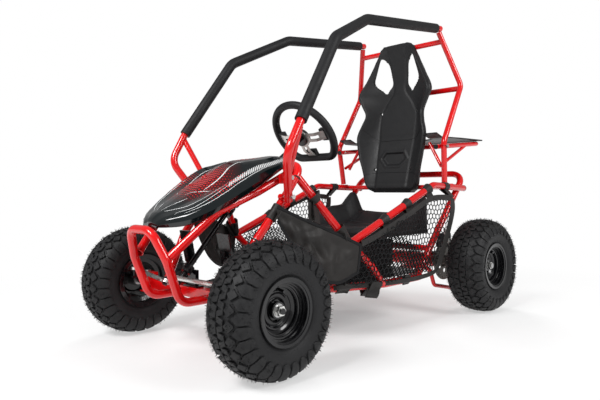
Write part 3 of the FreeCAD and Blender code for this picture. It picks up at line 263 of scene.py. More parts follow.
for subpart in record["subparts"]:
    slots = nodes[subpart["node"]].data.materials
    slots.clear()
    slots.append(MATERIALS[subpart["material_slot"]])


# ================================================================ mesh helpers
def mirrored_point(point):
    return Vector((-point[0], point[1], point[2]))


def smooth_mesh(name, vertices, faces, material, sharp_angle=40.0):
    """Shaded smooth, but for edges where the faces turn by more than sharp_angle degrees."""
    mesh = bpy.data.meshes.new(name)
    mesh.from_pydata([tuple(v) for v in vertices], [], faces)
    for polygon in mesh.polygons:
        polygon.use_smooth = True
    mesh.set_sharp_from_angle(angle=math.radians(sharp_angle))
    mesh.materials.append(material)
    return mesh


def placed(name, mesh, body, place=Matrix()):
    """An object that shows a mesh at a placement and rides on a CAD body."""
    piece = bpy.data.objects.new(name, mesh)
    bpy.context.scene.collection.objects.link(piece)
    piece.matrix_world = place
    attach(piece, body)
    return piece


def new_piece(name, vertices, faces, slot, material=None, sharp_angle=40.0):
    """A shown mesh on the chassis, in its slot's material unless another is named."""
    mesh = smooth_mesh(name, vertices, faces, MATERIALS[material or slot], sharp_angle)
    return placed(name, mesh, "chassis")


def piece_of_parts(name, parts, slot, material=None, side=1):
    """One piece from several vertex and face lists, mirrored where side is negative."""
    vertices, faces = joined(parts)
    if side < 0:
        vertices = [mirrored_point(v) for v in vertices]
        faces = [tuple(reversed(f)) for f in faces]
    return new_piece(name, vertices, faces, slot, material)


def thickened(piece, thickness, offset):
    modifier = piece.modifiers.new("solidify", "SOLIDIFY")
    modifier.thickness = thickness
    modifier.offset = offset


def grid_faces(rows, columns, closed_rows=False, closed_columns=False):
    """Quads of a rows x columns grid of vertices, numbered row by row."""
    faces = []
    for i in range(rows if closed_rows else rows - 1):
        for j in range(columns if closed_columns else columns - 1):
            row, next_row = i * columns, (i + 1) % rows * columns
            next_j = (j + 1) % columns
            faces.append((row + j, next_row + j, next_row + next_j, row + next_j))
    return faces


def curve_value(a, b, c, d, t):
    """Part of the way from b to c, on a smooth curve through a, b, c and d."""
    return 0.5 * (2 * b + (c - a) * t + (2 * a - 5 * b + 4 * c - d) * t ** 2
                  + (3 * b - a - 3 * c + d) * t ** 3)


def spline(points, steps=8):
    """A smooth line through the points."""
    points = [Vector(p) for p in points]
    padded = [2 * points[0] - points[1]] + points + [2 * points[-1] - points[-2]]
    line = []
    for k in range(1, len(padded) - 2):
        line += [curve_value(*padded[k - 1:k + 3], step / steps) for step in range(steps)]
    line.append(points[-1])
    return line


def line_frames(line, first_side):
    """Side and normal directions along a line, carried along without twisting."""
    frames = []
    side = Vector(first_side)
    for k, point in enumerate(line):
        ahead = line[min(k + 1, len(line) - 1)] - line[max(k - 1, 0)]
        ahead.normalize()
        side = (side - ahead * side.dot(ahead)).normalized()
        frames.append((point, side, ahead.cross(side)))
    return frames


def sweep(line, section, first_side):
    """Vertices and faces of a section carried along a line; the ends are capped."""
    vertices = []
    for point, side, normal in line_frames(line, first_side):
        vertices += [point + side * a + normal * b for a, b in section]
    count = len(section)
    faces = grid_faces(len(line), count, closed_columns=True)
    last = (len(line) - 1) * count
    faces.append(tuple(range(count)))
    faces.append(tuple(last + k for k in reversed(range(count))))
    return vertices, faces


def circle(radius, sides):
    angles = [2 * math.pi * k / sides for k in range(sides)]
    return [(radius * math.cos(angle), radius * math.sin(angle)) for angle in angles]


def ring(centre, along, radii):
    """Points round a direction, at these distances from its line."""
    side = along.orthogonal().normalized()
    other = along.cross(side)
    directions = [side * a + other * b for a, b in circle(1.0, len(radii))]
    return [centre + direction * radius for direction, radius in zip(directions, radii)]


def flat_section(width, thickness):
    """Webbing: a flat band with rounded edges."""
    w, t = width / 2, thickness / 2
    return [(-w, 0), (-w + t, -t), (w - t, -t), (w, 0), (w - t, t), (-w + t, t)]


def joined(parts):
    """One vertex and face list from several."""
    vertices, faces = [], []
    for part_vertices, part_faces in parts:
        start = len(vertices)
        vertices += list(part_vertices)
        faces += [tuple(start + index for index in face) for face in part_faces]
    return vertices, faces


def lathe(profile, segments):
    """A line of (along the axle, radius) points turned about X."""
    vertices = []
    for k in range(segments):
        angle = 2 * math.pi * k / segments
        vertices += [Vector((x, r * math.sin(angle), r * math.cos(angle))) for x, r in profile]
    return vertices, grid_faces(segments, len(profile), closed_rows=True)


def centre_of(node):
    low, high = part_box(node)
    return (Vector(low) + Vector(high)) / 2


# ================================================================ tyres
PITCHES = 29                         # repeats of the tread pattern around the tyre
TREAD_RADIUS = 0.171
PITCH = 2 * math.pi * TREAD_RADIUS / PITCHES
TREAD_DEPTH = 0.0065
BLOCK_BEVEL = 0.0011
BLOCK_FLARE = 0.0007                 # how much wider a block is at its foot
BLOCK_FOOT = -0.001                  # the foot's height, under the carcass surface
BLOCK_LEAN = 0.0065
GROOVE = 0.0042                      # between neighbouring blocks of a row
HAIR_COUNT = 1400
HAIR_LENGTH = (0.005, 0.0095)
HAIR_ROOT, HAIR_MIDDLE = 0.0008, 0.0006                         # radii
HAIR_BAND = (0.004, 0.092)           # how far from the crown they grow
GROUND_SHARE = 0.06                  # share of the circumference each side of the ground contact
CARCASS_HALF = [(0.0, 0.1710), (0.020, 0.1705), (0.040, 0.1665), (0.054, 0.158),
                (0.0635, 0.146), (0.0675, 0.133), (0.0685, 0.120), (0.066, 0.107),
                (0.061, 0.096), (0.056, 0.0905), (0.0545, 0.084), (0.053, 0.079)]


def carcass_table():
    """(arc length from the crown, along the axle, radius) down one side of the carcass."""
    line = spline([(x, r, 0) for x, r in CARCASS_HALF], 6)
    table = [(0.0, line[0].x, line[0].y)]
    for before, after in zip(line, line[1:]):
        table.append((table[-1][0] + (after - before).length, after.x, after.y))
    return table


CARCASS = carcass_table()


def carcass_point(across, around, height):
    """A point on the tyre: arc length across the tread, arc length around it, height above."""
    side = 1.0 if across >= 0 else -1.0
    reach = min(abs(across), CARCASS[-1][0] - 1e-6)
    k = next(i for i in range(1, len(CARCASS)) if CARCASS[i][0] > reach)
    s0, x0, r0 = CARCASS[k - 1]
    s1, x1, r1 = CARCASS[k]
    t = (reach - s0) / (s1 - s0)
    normal = Vector((-(r1 - r0), x1 - x0)).normalized()
    x = side * (x0 + (x1 - x0) * t + normal.x * height)
    radius = r0 + (r1 - r0) * t + normal.y * height
    angle = around / TREAD_RADIUS
    return Vector((x, radius * math.sin(angle), radius * math.cos(angle)))


def tread_block(stations):
    """A bevelled rubber block. Stations run across the tread: (across, low, high, height)."""
    stations = sorted(stations)
    first, last = stations[0], stations[-1]
    rows = [(first[0] - BLOCK_FLARE, *first[1:3], BLOCK_FOOT), (first[0], *first[1:3], None)]
    rows += [(first[0] + BLOCK_BEVEL, *first[1:])] + stations[1:-1]
    rows += [(last[0] - BLOCK_BEVEL, *last[1:]), (last[0], *last[1:3], None)]
    rows += [(last[0] + BLOCK_FLARE, *last[1:3], BLOCK_FOOT)]
    vertices = []
    for index, (across, low, high, top) in enumerate(rows):
        if top is None:
            top = (first if index == 1 else last)[3] - BLOCK_BEVEL
        bevel = min(BLOCK_BEVEL, (high - low) * 0.3)
        columns = [(low - BLOCK_FLARE, BLOCK_FOOT), (low, top - bevel), (low + bevel, top),
                   ((low + high) / 2, top), (high - bevel, top), (high, top - bevel),
                   (high + BLOCK_FLARE, BLOCK_FOOT)]
        vertices += [carcass_point(across, around, min(top, height)) for around, height in columns]
    return vertices, grid_faces(len(rows), 7)


def both_sides(stations, shift=0.0):
    """The same block on each side of the crown, the far one moved around the tyre."""
    moved = [(-s, low + shift, high + shift, top) for s, low, high, top in stations]
    return [stations, moved]


def crown_blocks(start):
    """Two leaning blocks each side of the crown in every pitch."""
    depth = TREAD_DEPTH
    half_pitch = PITCH / 2
    width = half_pitch - GROOVE
    blocks = []
    for low, lean in ((start, BLOCK_LEAN), (start + half_pitch + BLOCK_LEAN, -BLOCK_LEAN)):
        blocks += both_sides([(0.0016, low, low + width, depth),
                              (0.0125, low + lean * 0.5, low + width + lean * 0.5, depth),
                              (0.0235, low + lean, low + width + lean, depth)], half_pitch / 2)
    return blocks


# stations of each shoulder block: how far across, half its length, share of the tread depth
DIAMOND = [(0.0255, 0.0025, 1.0), (0.0385, 0.0148, 1.0), (0.0515, 0.0030, 1.0)]
WEDGE = [(0.0440, 0.0030, 0.45), (0.0500, 0.0090, 0.45)]
TONGUE = [(0.0470, 0.0030, 1.0), (0.0560, 0.0130, 1.0), (0.0610, 0.0165, 1.0),
          (0.0720, 0.0165, 1.0), (0.0820, 0.0160, 0.95), (0.0900, 0.0125, 0.75),
          (0.0960, 0.0060, 0.45)]


def shoulder_blocks(start):
    """A diamond, a low wedge beside it and a tongue that fades into the sidewall."""
    blocks = []
    for middle, shape in ((start + PITCH / 2, DIAMOND), (start, WEDGE), (start, TONGUE)):
        blocks += both_sides([(across, middle - half, middle + half, TREAD_DEPTH * share)
                              for across, half, share in shape])
    return blocks


def rubber_hair(across, around):
    """A thin moulding hair that leans a little."""
    root = carcass_point(across, around, TREAD_DEPTH - 0.0005)
    outward = (root - carcass_point(across, around, 0.0)).normalized()
    lean = Vector([random.uniform(-1, 1) for _ in range(3)]) * 0.35
    length = random.uniform(*HAIR_LENGTH)
    middle = root + (outward + lean * 0.4).normalized() * length * 0.5
    tip = middle + (outward + lean).normalized() * length * 0.5
    vertices = ring(root, outward, [HAIR_ROOT] * 3)
    vertices += ring(middle, outward, [HAIR_MIDDLE] * 3) + [tip]
    faces = [(k, (k + 1) % 3, 3 + (k + 1) % 3, 3 + k) for k in range(3)]
    faces += [(3 + k, 3 + (k + 1) % 3, 6) for k in range(3)]
    return vertices, faces


def rubber_hairs(count):
    """Hairs all over the tread and shoulder, none where the tyre stands on the ground."""
    parts = []
    circumference = 2 * math.pi * TREAD_RADIUS
    while len(parts) < count:
        around = random.uniform(0, circumference)
        if abs(around / circumference - 0.5) < GROUND_SHARE:
            continue
        parts.append(rubber_hair(random.choice((-1, 1)) * random.uniform(*HAIR_BAND), around))
    return parts


def sidewall_nibs():
    """Short raised dashes around the bead, in place of moulded lettering."""
    parts = []
    for k in range(PITCHES * 2):
        start = k * PITCH / 2
        across = 0.117 + 0.003 * (k % 2)
        for block in both_sides([(across, start, start + 0.004, 0.0008),
                                 (across + 0.0035, start, start + 0.004, 0.0008)]):
            parts.append(tread_block(block))
    return parts


def tyre_mesh():
    profile = [(-x, r) for _, x, r in reversed(CARCASS)] + [(x, r) for _, x, r in CARCASS[1:]]
    parts = [lathe(profile, PITCHES * 4)]
    for k in range(PITCHES):
        for block in crown_blocks(k * PITCH) + shoulder_blocks(k * PITCH):
            parts.append(tread_block(block))
    parts += sidewall_nibs()
    parts += rubber_hairs(HAIR_COUNT)
    return smooth_mesh("tyre", *joined(parts), MATERIALS["tyre_rubber"], 38.0)


RIM_PROFILE = [(0.0600, 0.0795), (0.0612, 0.0868), (0.0590, 0.0884), (0.0565, 0.0868),
               (0.0560, 0.0800), (0.0500, 0.0772), (0.0495, 0.0750), (0.0455, 0.0742),
               (0.0450, 0.0700), (0.0385, 0.0690), (0.0380, 0.0650), (0.0315, 0.0640),
               (0.0310, 0.0592), (0.0240, 0.0580), (0.0232, 0.0520), (0.0190, 0.0490),
               (0.0175, 0.0440), (0.0140, 0.0420), (0.0135, 0.0300), (0.0150, 0.0285),
               (0.0200, 0.0280)]


def rim_face_mesh():
    """Stepped and glossy outer face of the pressed rim."""
    vertices, faces = lathe(RIM_PROFILE, 96)
    outward_faces = [tuple(reversed(face)) for face in faces]
    return smooth_mesh("rim_face", vertices, outward_faces, MATERIALS["black_paint"], 60.0)


def make_wheels():
    tyre = tyre_mesh()
    rim = rim_face_mesh()
    for axle in ("front", "rear"):
        for side in ("left", "right"):
            node = f"tyre_{axle}_{side}"
            turn = 0.0 if side == "left" else math.pi
            place = Matrix.Translation(centre_of(node)) @ Matrix.Rotation(turn, 4, "Z")
            body = body_of(nodes[node])[0]
            piece = placed(f"tread_tyre_{axle}_{side}", tyre, body, place)
            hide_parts(node)
            placed(f"rim_face_{axle}_{side}", rim, body, place)


make_wheels()


# ================================================================ hood
# y, half width, lower edge, side ridge, valley beside the scoop, centre; metres
HOOD_STATIONS = [
    (-0.702, 0.040, 0.379, 0.394, 0.398, 0.403),
    (-0.690, 0.064, 0.379, 0.407, 0.412, 0.418),
    (-0.655, 0.112, 0.384, 0.424, 0.430, 0.437),
    (-0.610, 0.144, 0.400, 0.450, 0.450, 0.464),
    (-0.560, 0.166, 0.426, 0.480, 0.474, 0.496),
    (-0.500, 0.176, 0.457, 0.518, 0.496, 0.530),
    (-0.430, 0.185, 0.494, 0.553, 0.517, 0.570),
    (-0.380, 0.189, 0.526, 0.566, 0.530, 0.580),
    (-0.325, 0.186, 0.556, 0.580, 0.552, 0.586),
    (-0.240, 0.160, 0.578, 0.592, 0.580, 0.597),
]
# how far out, and which of the heights above, a section passes through
HOOD_SECTION = [(0.92, "edge"), (1.0, "skirt"), (0.94, "under_ridge"), (0.77, "ridge"),
                (0.60, "inner_ridge"), (0.42, "valley"), (0.24, "scoop"), (0.0, "centre")]
HOOD_FRONT_EDGE = 0.377
LOBE_SETBACK = 0.083                 # how far the side lobes end in front of the scoop
HOOD_ROWS = 64
GRAPHICS_LIFT = 0.0008
HOOD_CACHE = {}                      # rows of the hood's skin that were worked out already


def table_at(table, key):
    """Values of a table between its rows, on a smooth curve."""
    rows = [table[0]] + list(table) + [table[-1]]
    k = 1
    while k < len(rows) - 3 and key > rows[k + 1][0]:
        k += 1
    a, b, c, d = rows[k - 1:k + 3]
    t = (key - b[0]) / (c[0] - b[0])
    t = min(max(t, 0.0), 1.0)
    return [curve_value(*four, t) for four in zip(a[1:], b[1:], c[1:], d[1:])]


def hood_heights(y):
    width, edge, ridge, valley, centre = table_at(HOOD_STATIONS, y)
    heights = {"edge": edge, "skirt": edge + (ridge - edge) * 0.38,
               "under_ridge": edge + (ridge - edge) * 0.72, "ridge": ridge,
               "inner_ridge": ridge - (ridge - valley) * 0.45, "valley": valley,
               "scoop": centre - (centre - valley) * 0.18, "centre": centre}
    return width, heights


def subdivided(points, steps):
    """Straight pieces between the points, each cut into equal steps."""
    line = [points[0]]
    for before, after in zip(points, points[1:]):
        line += [before.lerp(after, k / steps) for k in range(1, steps + 1)]
    return line


def hood_row(y):
    """Points of the section at y, from the left lower edge over the top to the right one."""
    width, heights = hood_heights(y)
    corners = [Vector((share * width, y, heights[name])) for share, name in HOOD_SECTION]
    half = subdivided(corners, 5)
    return half + [mirrored_point(p) for p in reversed(half[:-1])]


def known_row(y):
    """The section at y, worked out once for each hundredth of a millimetre."""
    key = round(y, 5)
    if key not in HOOD_CACHE:
        HOOD_CACHE[key] = hood_row(y)
    return HOOD_CACHE[key]


def smooth_step(low, high, value):
    t = min(max((value - low) / (high - low), 0.0), 1.0)
    return t * t * (3 - 2 * t)


def hood_rear(x):
    """The scoop in the middle reaches further back than the side lobes."""
    return HOOD_STATIONS[-1][0] - LOBE_SETBACK * smooth_step(0.060, 0.105, abs(x))


def make_hood():
    front_y, rear_y = HOOD_STATIONS[0][0], HOOD_STATIONS[-1][0]
    front = hood_row(front_y)
    columns = len(front)
    vertices = [Vector((p.x, front_y - 0.001, HOOD_FRONT_EDGE)) for p in front] + front
    for i in range(1, HOOD_ROWS + 1):
        share = i / HOOD_ROWS
        base = hood_row(front_y + (rear_y - front_y) * share)
        for j, point in enumerate(base):
            y = front_y + (hood_rear(point.x) - front_y) * share
            vertices.append(known_row(y)[j])
    hood = new_piece("hood_shell", vertices, grid_faces(HOOD_ROWS + 2, columns), "hood_plastic")
    thickened(hood, 0.003, -1.0)
    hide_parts("hood")


def on_hood(x, y):
    """The point just over the hood's skin at (x, y), and the skin's normal there."""
    def height(px, py):
        row = known_row(round(py, 4))
        for a, b in zip(row, row[1:]):
            low, high = sorted((a.x, b.x))
            if low <= px <= high and low < high:
                return a.z + (b.z - a.z) * (px - a.x) / (b.x - a.x)
        return row[len(row) // 2].z
    step = 0.002
    z = height(x, y)
    slope_x = (height(x + step, y) - height(x - step, y)) / (2 * step)
    slope_y = (height(x, y + step) - height(x, y - step)) / (2 * step)
    normal = Vector((-slope_x, -slope_y, 1.0)).normalized()
    return Vector((x, y, z)) + normal * GRAPHICS_LIFT, normal


def hood_stripe(points, width):
    """A thin painted line laid over the hood's skin, narrower at its ends."""
    line = [on_hood(p.x, p.y) for p in spline([(x, y, 0) for x, y in points], 8)]
    vertices = []
    for k, (point, normal) in enumerate(line):
        ahead = line[min(k + 1, len(line) - 1)][0] - line[max(k - 1, 0)][0]
        side = ahead.cross(normal).normalized()
        taper = min(1.0, 0.35 + 3.0 * min(k, len(line) - 1 - k) / len(line))
        vertices += [point - side * width * taper / 2, point + side * width * taper / 2]
    return vertices, grid_faces(len(line), 2)


def hood_dot(x, y, radius):
    """A six-sided painted dot."""
    point, normal = on_hood(x, y)
    return ring(point, normal, [radius] * 6), [tuple(range(6))]


def dot_field(x_low, x_high, y_low, y_high, pitch, strength):
    """Halftone dots that are largest in the middle of the field and fade out at its edges."""
    parts = []
    rows = int((y_high - y_low) / pitch)
    columns = int((x_high - x_low) / pitch)
    for i in range(rows):
        for j in range(columns):
            x = x_low + (j + 0.5 * (i % 2)) * pitch
            y = y_low + i * pitch
            across = abs(2 * (x - x_low) / (x_high - x_low) - 1)
            along = abs(2 * (y - y_low) / (y_high - y_low) - 1)
            size = pitch * 0.52 * strength * (1 - across ** 2) * (1 - along ** 2)
            if size > pitch * 0.08:
                parts.append(hood_dot(x, y, size))
    return parts


# width and points (x, y) of each painted line on the left half of the hood
HOOD_LINES = [
    (0.0036, [(0.030, -0.672), (0.090, -0.625), (0.118, -0.560), (0.128, -0.500)]),
    (0.0016, [(0.074, -0.668), (0.112, -0.625), (0.132, -0.570), (0.140, -0.520)]),
    (0.0022, [(0.012, -0.672), (0.030, -0.640), (0.046, -0.606)]),
    (0.0036, [(0.058, -0.560), (0.052, -0.500), (0.040, -0.440), (0.036, -0.385)]),
    (0.0020, [(0.100, -0.652), (0.129, -0.610), (0.149, -0.560), (0.158, -0.500),
              (0.166, -0.430), (0.169, -0.370)]),
    (0.0024, [(0.020, -0.600), (0.062, -0.560), (0.098, -0.500), (0.118, -0.440),
              (0.126, -0.380)]),
]
BAR_COUNT = 34
BAR_PITCH = 0.0062
BAR_WIDTH = 0.0034


def make_hood_graphics():
    """Generic speed graphics: thin outlines, slanted bars along the ridges and halftone dots."""
    stripes = []
    for side, _ in SIDES:
        for width, points in HOOD_LINES:
            stripes.append(hood_stripe([(side * x, y) for x, y in points], width))
    for side, _ in SIDES:
        for k in range(BAR_COUNT):
            y = -0.530 + k * BAR_PITCH
            half = side * hood_heights(y)[0]
            outer = half * (0.84 + 0.09 * k / (BAR_COUNT - 1))
            stripes.append(hood_stripe([(half * 0.78, y + 0.012), (outer, y)], BAR_WIDTH))
    piece_of_parts("hood_white_graphics", stripes, "hood_plastic", "decal_white")
    dots = dot_field(-0.095, 0.095, -0.625, -0.430, 0.0085, 1.0)
    dots += dot_field(-0.028, 0.028, -0.430, -0.270, 0.0080, 0.9)
    dots += dot_field(0.100, 0.160, -0.600, -0.440, 0.0085, 0.9)
    dots += dot_field(-0.160, -0.100, -0.600, -0.440, 0.0085, 0.9)
    piece_of_parts("hood_red_graphics", dots, "hood_plastic", "decal_red")


# ================================================================ seat
# height, half width, depth of the central panel, depth at the edges; metres
SEAT_LEVELS = [
    (0.462, 0.098, 0.434, 0.430), (0.475, 0.122, 0.437, 0.426), (0.500, 0.137, 0.442, 0.421),
    (0.560, 0.148, 0.457, 0.416), (0.620, 0.164, 0.472, 0.413), (0.690, 0.176, 0.490, 0.415),
    (0.720, 0.174, 0.496, 0.419), (0.760, 0.160, 0.503, 0.430), (0.805, 0.150, 0.510, 0.446),
    (0.850, 0.170, 0.516, 0.446), (0.893, 0.188, 0.520, 0.446), (0.960, 0.153, 0.518, 0.462),
    (1.040, 0.110, 0.506, 0.476), (1.090, 0.084, 0.494, 0.482), (1.104, 0.066, 0.490, 0.484)]
SEAT_PANEL = [(0.462, 0.075), (0.700, 0.086), (0.800, 0.088), (0.850, 0.062), (0.905, 0.024),
              (0.960, 0.030), (1.104, 0.040)]           # height, half width of the raised panel
SEAT_RECESS = [(-0.063, 0.608), (-0.046, 0.634), (0.046, 0.634), (0.063, 0.608), (0.034, 0.578),
               (-0.034, 0.578)]
SEAT_WINDOW = [(0.088, 1.054), (0.070, 1.054), (0.045, 1.024), (0.034, 0.935), (0.066, 0.893),
               (0.124, 0.944)]
SEAT_THICKNESS = 0.013
SEAT_BOLT_HOLE = 0.0058
SEAT_COLUMNS = 104
SEAT_ROWS = 190


def inside_depth(polygon, x, z):
    """How far (x, z) lies inside a convex outline; negative outside it."""
    centre_x = sum(p[0] for p in polygon) / len(polygon)
    centre_z = sum(p[1] for p in polygon) / len(polygon)
    depth = 1.0
    for (ax, az), (bx, bz) in zip(polygon, polygon[1:] + polygon[:1]):
        normal = Vector((bz - az, ax - bx)).normalized()
        if normal.x * (centre_x - ax) + normal.y * (centre_z - az) < 0:
            normal = -normal
        depth = min(depth, normal.x * (x - ax) + normal.y * (z - az))
    return depth


def seat_depth(x, z):
    """y of the seat back's front surface."""
    half, centre, edge = table_at(SEAT_LEVELS, z)
    panel = table_at(SEAT_PANEL, z)[0]
    out = min(abs(x) / half, 1.0)
    if abs(x) <= panel:
        y = centre
    else:
        wing = (abs(x) - panel) / max(half - panel, 0.001)
        y = centre + (edge - centre) * (0.35 * wing + 0.65 * wing ** 1.7)
    y -= 0.0045 * smooth_step(0.010, -0.003, abs(x) - panel)
    y += 0.016 * smooth_step(0.90, 1.0, out) ** 2
    y += 0.012 * smooth_step(0.485, 0.462, z)
    y += 0.0075 * smooth_step(0.0, 0.007, inside_depth(SEAT_RECESS, x, z))
    y -= 0.0022 * smooth_step(-0.012, -0.008, inside_depth(SEAT_RECESS, x, z)) \
        * smooth_step(0.002, -0.002, inside_depth(SEAT_RECESS, x, z))
    return y


def inside_outline(outline, y, z):
    inside = False
    for (ay, az), (by, bz) in zip(outline, outline[1:] + outline[:1]):
        if (az > z) != (bz > z) and y < ay + (by - ay) * (z - az) / (bz - az):
            inside = not inside
    return inside


def nearest_on(outline, x, z):
    """The nearest point of a closed outline, and how far away it is."""
    place = Vector((x, z))
    best, distance = place, 1.0
    for a, b in zip(outline, outline[1:] + outline[:1]):
        a, b = Vector(a), Vector(b)
        share = (place - a).dot(b - a) / max((b - a).length_squared, 1e-12)
        foot = a.lerp(b, min(max(share, 0.0), 1.0))
        if (foot - place).length < distance:
            best, distance = foot, (foot - place).length
    return best, distance


def rounded_outline(outline, share=0.22):
    """The outline with each corner cut by a short curve."""
    points = []
    count = len(outline)
    for k, corner in enumerate(outline):
        corner = Vector(corner)
        before = Vector(outline[k - 1])
        after = Vector(outline[(k + 1) % count])
        start = corner + (before - corner) * share
        end = corner + (after - corner) * share
        for t in (0.0, 0.25, 0.5, 0.75, 1.0):
            points.append(start.lerp(corner, t).lerp(corner.lerp(end, t), t))
    return [(p.x, p.y) for p in points]


def seat_openings():
    """Two windows behind the shoulders and four bolt holes, as closed outlines."""
    openings = []
    for side in (1, -1):
        openings.append([(side * x, z) for x, z in rounded_outline(SEAT_WINDOW)])
    for mount in record["mounts"]:
        if mount["name"].startswith("seat_back_hole"):
            x, _, z = mount["pos_m"]
            openings.append([(x + a, z + b) for a, b in circle(SEAT_BOLT_HOLE, 16)])
    return openings


def seat_grid_point(x, z, openings, reach):
    """A grid point, drawn onto the edge of an opening when it lies close to one."""
    for outline in openings:
        foot, distance = nearest_on(outline, x, z)
        if distance < reach:
            return foot.x, foot.y
    return x, z


def make_seat_back():
    """Moulded shell: a front and a back skin, joined round the rim and round each opening."""
    openings = seat_openings()
    low_z, high_z = SEAT_LEVELS[0][0], SEAT_LEVELS[-1][0]
    reach = 0.52 * (high_z - low_z) / SEAT_ROWS
    flat = []
    for i in range(SEAT_ROWS + 1):
        z = low_z + (high_z - low_z) * i / SEAT_ROWS
        half = table_at(SEAT_LEVELS, z)[0]
        for j in range(SEAT_COLUMNS + 1):
            x = half * (2 * j / SEAT_COLUMNS - 1)
            flat.append(seat_grid_point(x, z, openings, reach))
    front = []
    for cell in grid_faces(SEAT_ROWS + 1, SEAT_COLUMNS + 1):
        x = sum(flat[k][0] for k in cell) / 4
        z = sum(flat[k][1] for k in cell) / 4
        if not any(inside_outline(outline, x, z) for outline in openings):
            front.append(cell)
    count = len(flat)
    vertices = [Vector((x, seat_depth(x, z), z)) for x, z in flat]
    vertices += [Vector((x, seat_depth(x, z) + SEAT_THICKNESS, z)) for x, z in flat]
    faces = front + [tuple(k + count for k in reversed(cell)) for cell in front]
    edges = {(cell[k - 1], cell[k]) for cell in front for k in range(4)}
    faces += [(b, a, a + count, b + count) for a, b in edges if (b, a) not in edges]
    seat = new_piece("seat_back_shell", vertices, faces, "seat_plastic", sharp_angle=42.0)
    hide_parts("seat_back")


def seat_stitches(points, pitch=0.0075, length=0.0045):
    """Short stitches along a line on the seat back's front."""
    line = spline([(x, 0, z) for x, z in points], 24)
    parts, travelled, next_stitch = [], 0.0, 0.0
    for before, after in zip(line, line[1:]):
        step = (after - before).length
        while travelled + step > next_stitch:
            share = (next_stitch - travelled) / step
            start = before.lerp(after, share)
            end = start + (after - before).normalized() * length
            ends = [Vector((p.x, seat_depth(p.x, p.z) - 0.0006, p.z)) for p in (start, end)]
            parts.append(sweep(ends, circle(0.0011, 6), (0, 1, 0.1)))
            next_stitch += pitch
        travelled += step
    return parts


SEAT_SEAMS = [
    [(-0.160, 0.747), (-0.092, 0.692), (0.0, 0.688), (0.092, 0.692), (0.160, 0.747)],
    [(-0.140, 0.535), (-0.098, 0.546), (0.0, 0.548), (0.098, 0.546), (0.140, 0.535)],
]


def make_seat_seams():
    parts = []
    for seam in SEAT_SEAMS:
        parts += seat_stitches(seam)
    piece_of_parts("seat_back_stitching", parts, "seat_plastic", "foam")


# seat base: y, pan height, bolster height
BASE_LEVELS = [(0.036, 0.318, 0.322), (0.044, 0.334, 0.338), (0.110, 0.330, 0.356),
               (0.180, 0.328, 0.380), (0.255, 0.330, 0.406), (0.330, 0.345, 0.414),
               (0.372, 0.368, 0.448), (0.396, 0.378, 0.464), (0.412, 0.380, 0.460),
               (0.418, 0.372, 0.440)]
BASE_HALF = 0.192
BASE_BOTTOM = 0.302


def base_height(x, y):
    """Height of the seat base: a pan with cross channels and a bolster at each side."""
    pan, bolster = table_at(BASE_LEVELS, y)
    out = abs(x) / BASE_HALF
    rise = smooth_step(0.66, 0.90, out)
    fall = smooth_step(0.955, 1.0, out)
    z = pan + (bolster - pan) * rise - 0.016 * fall ** 2
    z += 0.010 * (out * 1.2) ** 2 * (1 - rise)
    for k in range(6):
        groove = abs(y - 0.085 - k * 0.046)
        z -= 0.0045 * smooth_step(0.007, 0.0, groove) * smooth_step(0.68, 0.58, out)
    z -= 0.004 * smooth_step(0.006, 0.0, abs(abs(x) - 0.112)) * smooth_step(0.05, 0.09, y)
    return z


def make_seat_base():
    rows, columns = 110, 90
    low_y, high_y = BASE_LEVELS[0][0], BASE_LEVELS[-1][0]
    vertices = []
    for i in range(rows + 1):
        y = low_y + (high_y - low_y) * i / rows
        vertices.append(Vector((-BASE_HALF, y, BASE_BOTTOM)))
        for j in range(columns + 1):
            x = BASE_HALF * (2 * j / columns - 1)
            vertices.append(Vector((x, y, base_height(x, y))))
        vertices.append(Vector((BASE_HALF, y, BASE_BOTTOM)))
    count = columns + 3
    faces = grid_faces(rows + 1, count)
    last = rows * count
    faces.append(tuple(reversed(range(count))))
    faces.append(tuple(last + k for k in range(count)))
    faces.append(tuple(i * count for i in range(rows + 1))
                 + tuple(i * count + count - 1 for i in reversed(range(rows + 1))))
    base = new_piece("seat_base_shell", vertices, faces, "seat_plastic", sharp_angle=50.0)
    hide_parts("seat_base")


# ================================================================ nets, panels and straps
TUBE = 0.0127                        # radius of the frame's main tubes
NET_X = 0.3175
NET_CELL = 0.0195
NET_ROWS, NET_COLUMNS = 24, 46
NET_OUTLINE = [(-0.215, 0.176), (-0.205, 0.262), (-0.155, 0.275), (-0.140, 0.310), (-0.060, 0.330),
               (0.100, 0.392), (0.240, 0.438), (0.330, 0.446), (0.396, 0.440), (0.392, 0.395),
               (0.345, 0.300), (0.300, 0.205), (0.245, 0.176), (0.040, 0.170), (-0.180, 0.174)]
# where the net hangs in folds, behind its outer layer
NET_GATHERED = [(-0.215, 0.178), (-0.205, 0.262), (-0.155, 0.275), (-0.060, 0.322), (0.060, 0.330),
                (0.190, 0.270), (0.285, 0.215), (0.245, 0.178)]


def bottom_rail_x(y):
    """The bottom rail runs straight, then bends inwards towards the front."""
    return 0.300 - 0.341 * max(0.0, -0.005 - y)


def net_place(y, z):
    """The net hangs from the side rail to the bottom rail and bulges a little."""
    upper = NET_X - 0.35 * max(0.0, -0.146 - y) - 0.006 * smooth_step(-0.120, -0.160, y)
    lower = NET_X - 0.50 * max(0.0, -0.100 - y)
    x = lower + (upper - lower) * smooth_step(0.167, 0.310, z)
    bulge = 0.006 * math.sin(y * 21.0) * math.sin((z - 0.17) * 11.0)
    sag = 0.0025 * math.sin(y * 67.0 + z * 41.0)
    return Vector((x + bulge, y, z + sag))


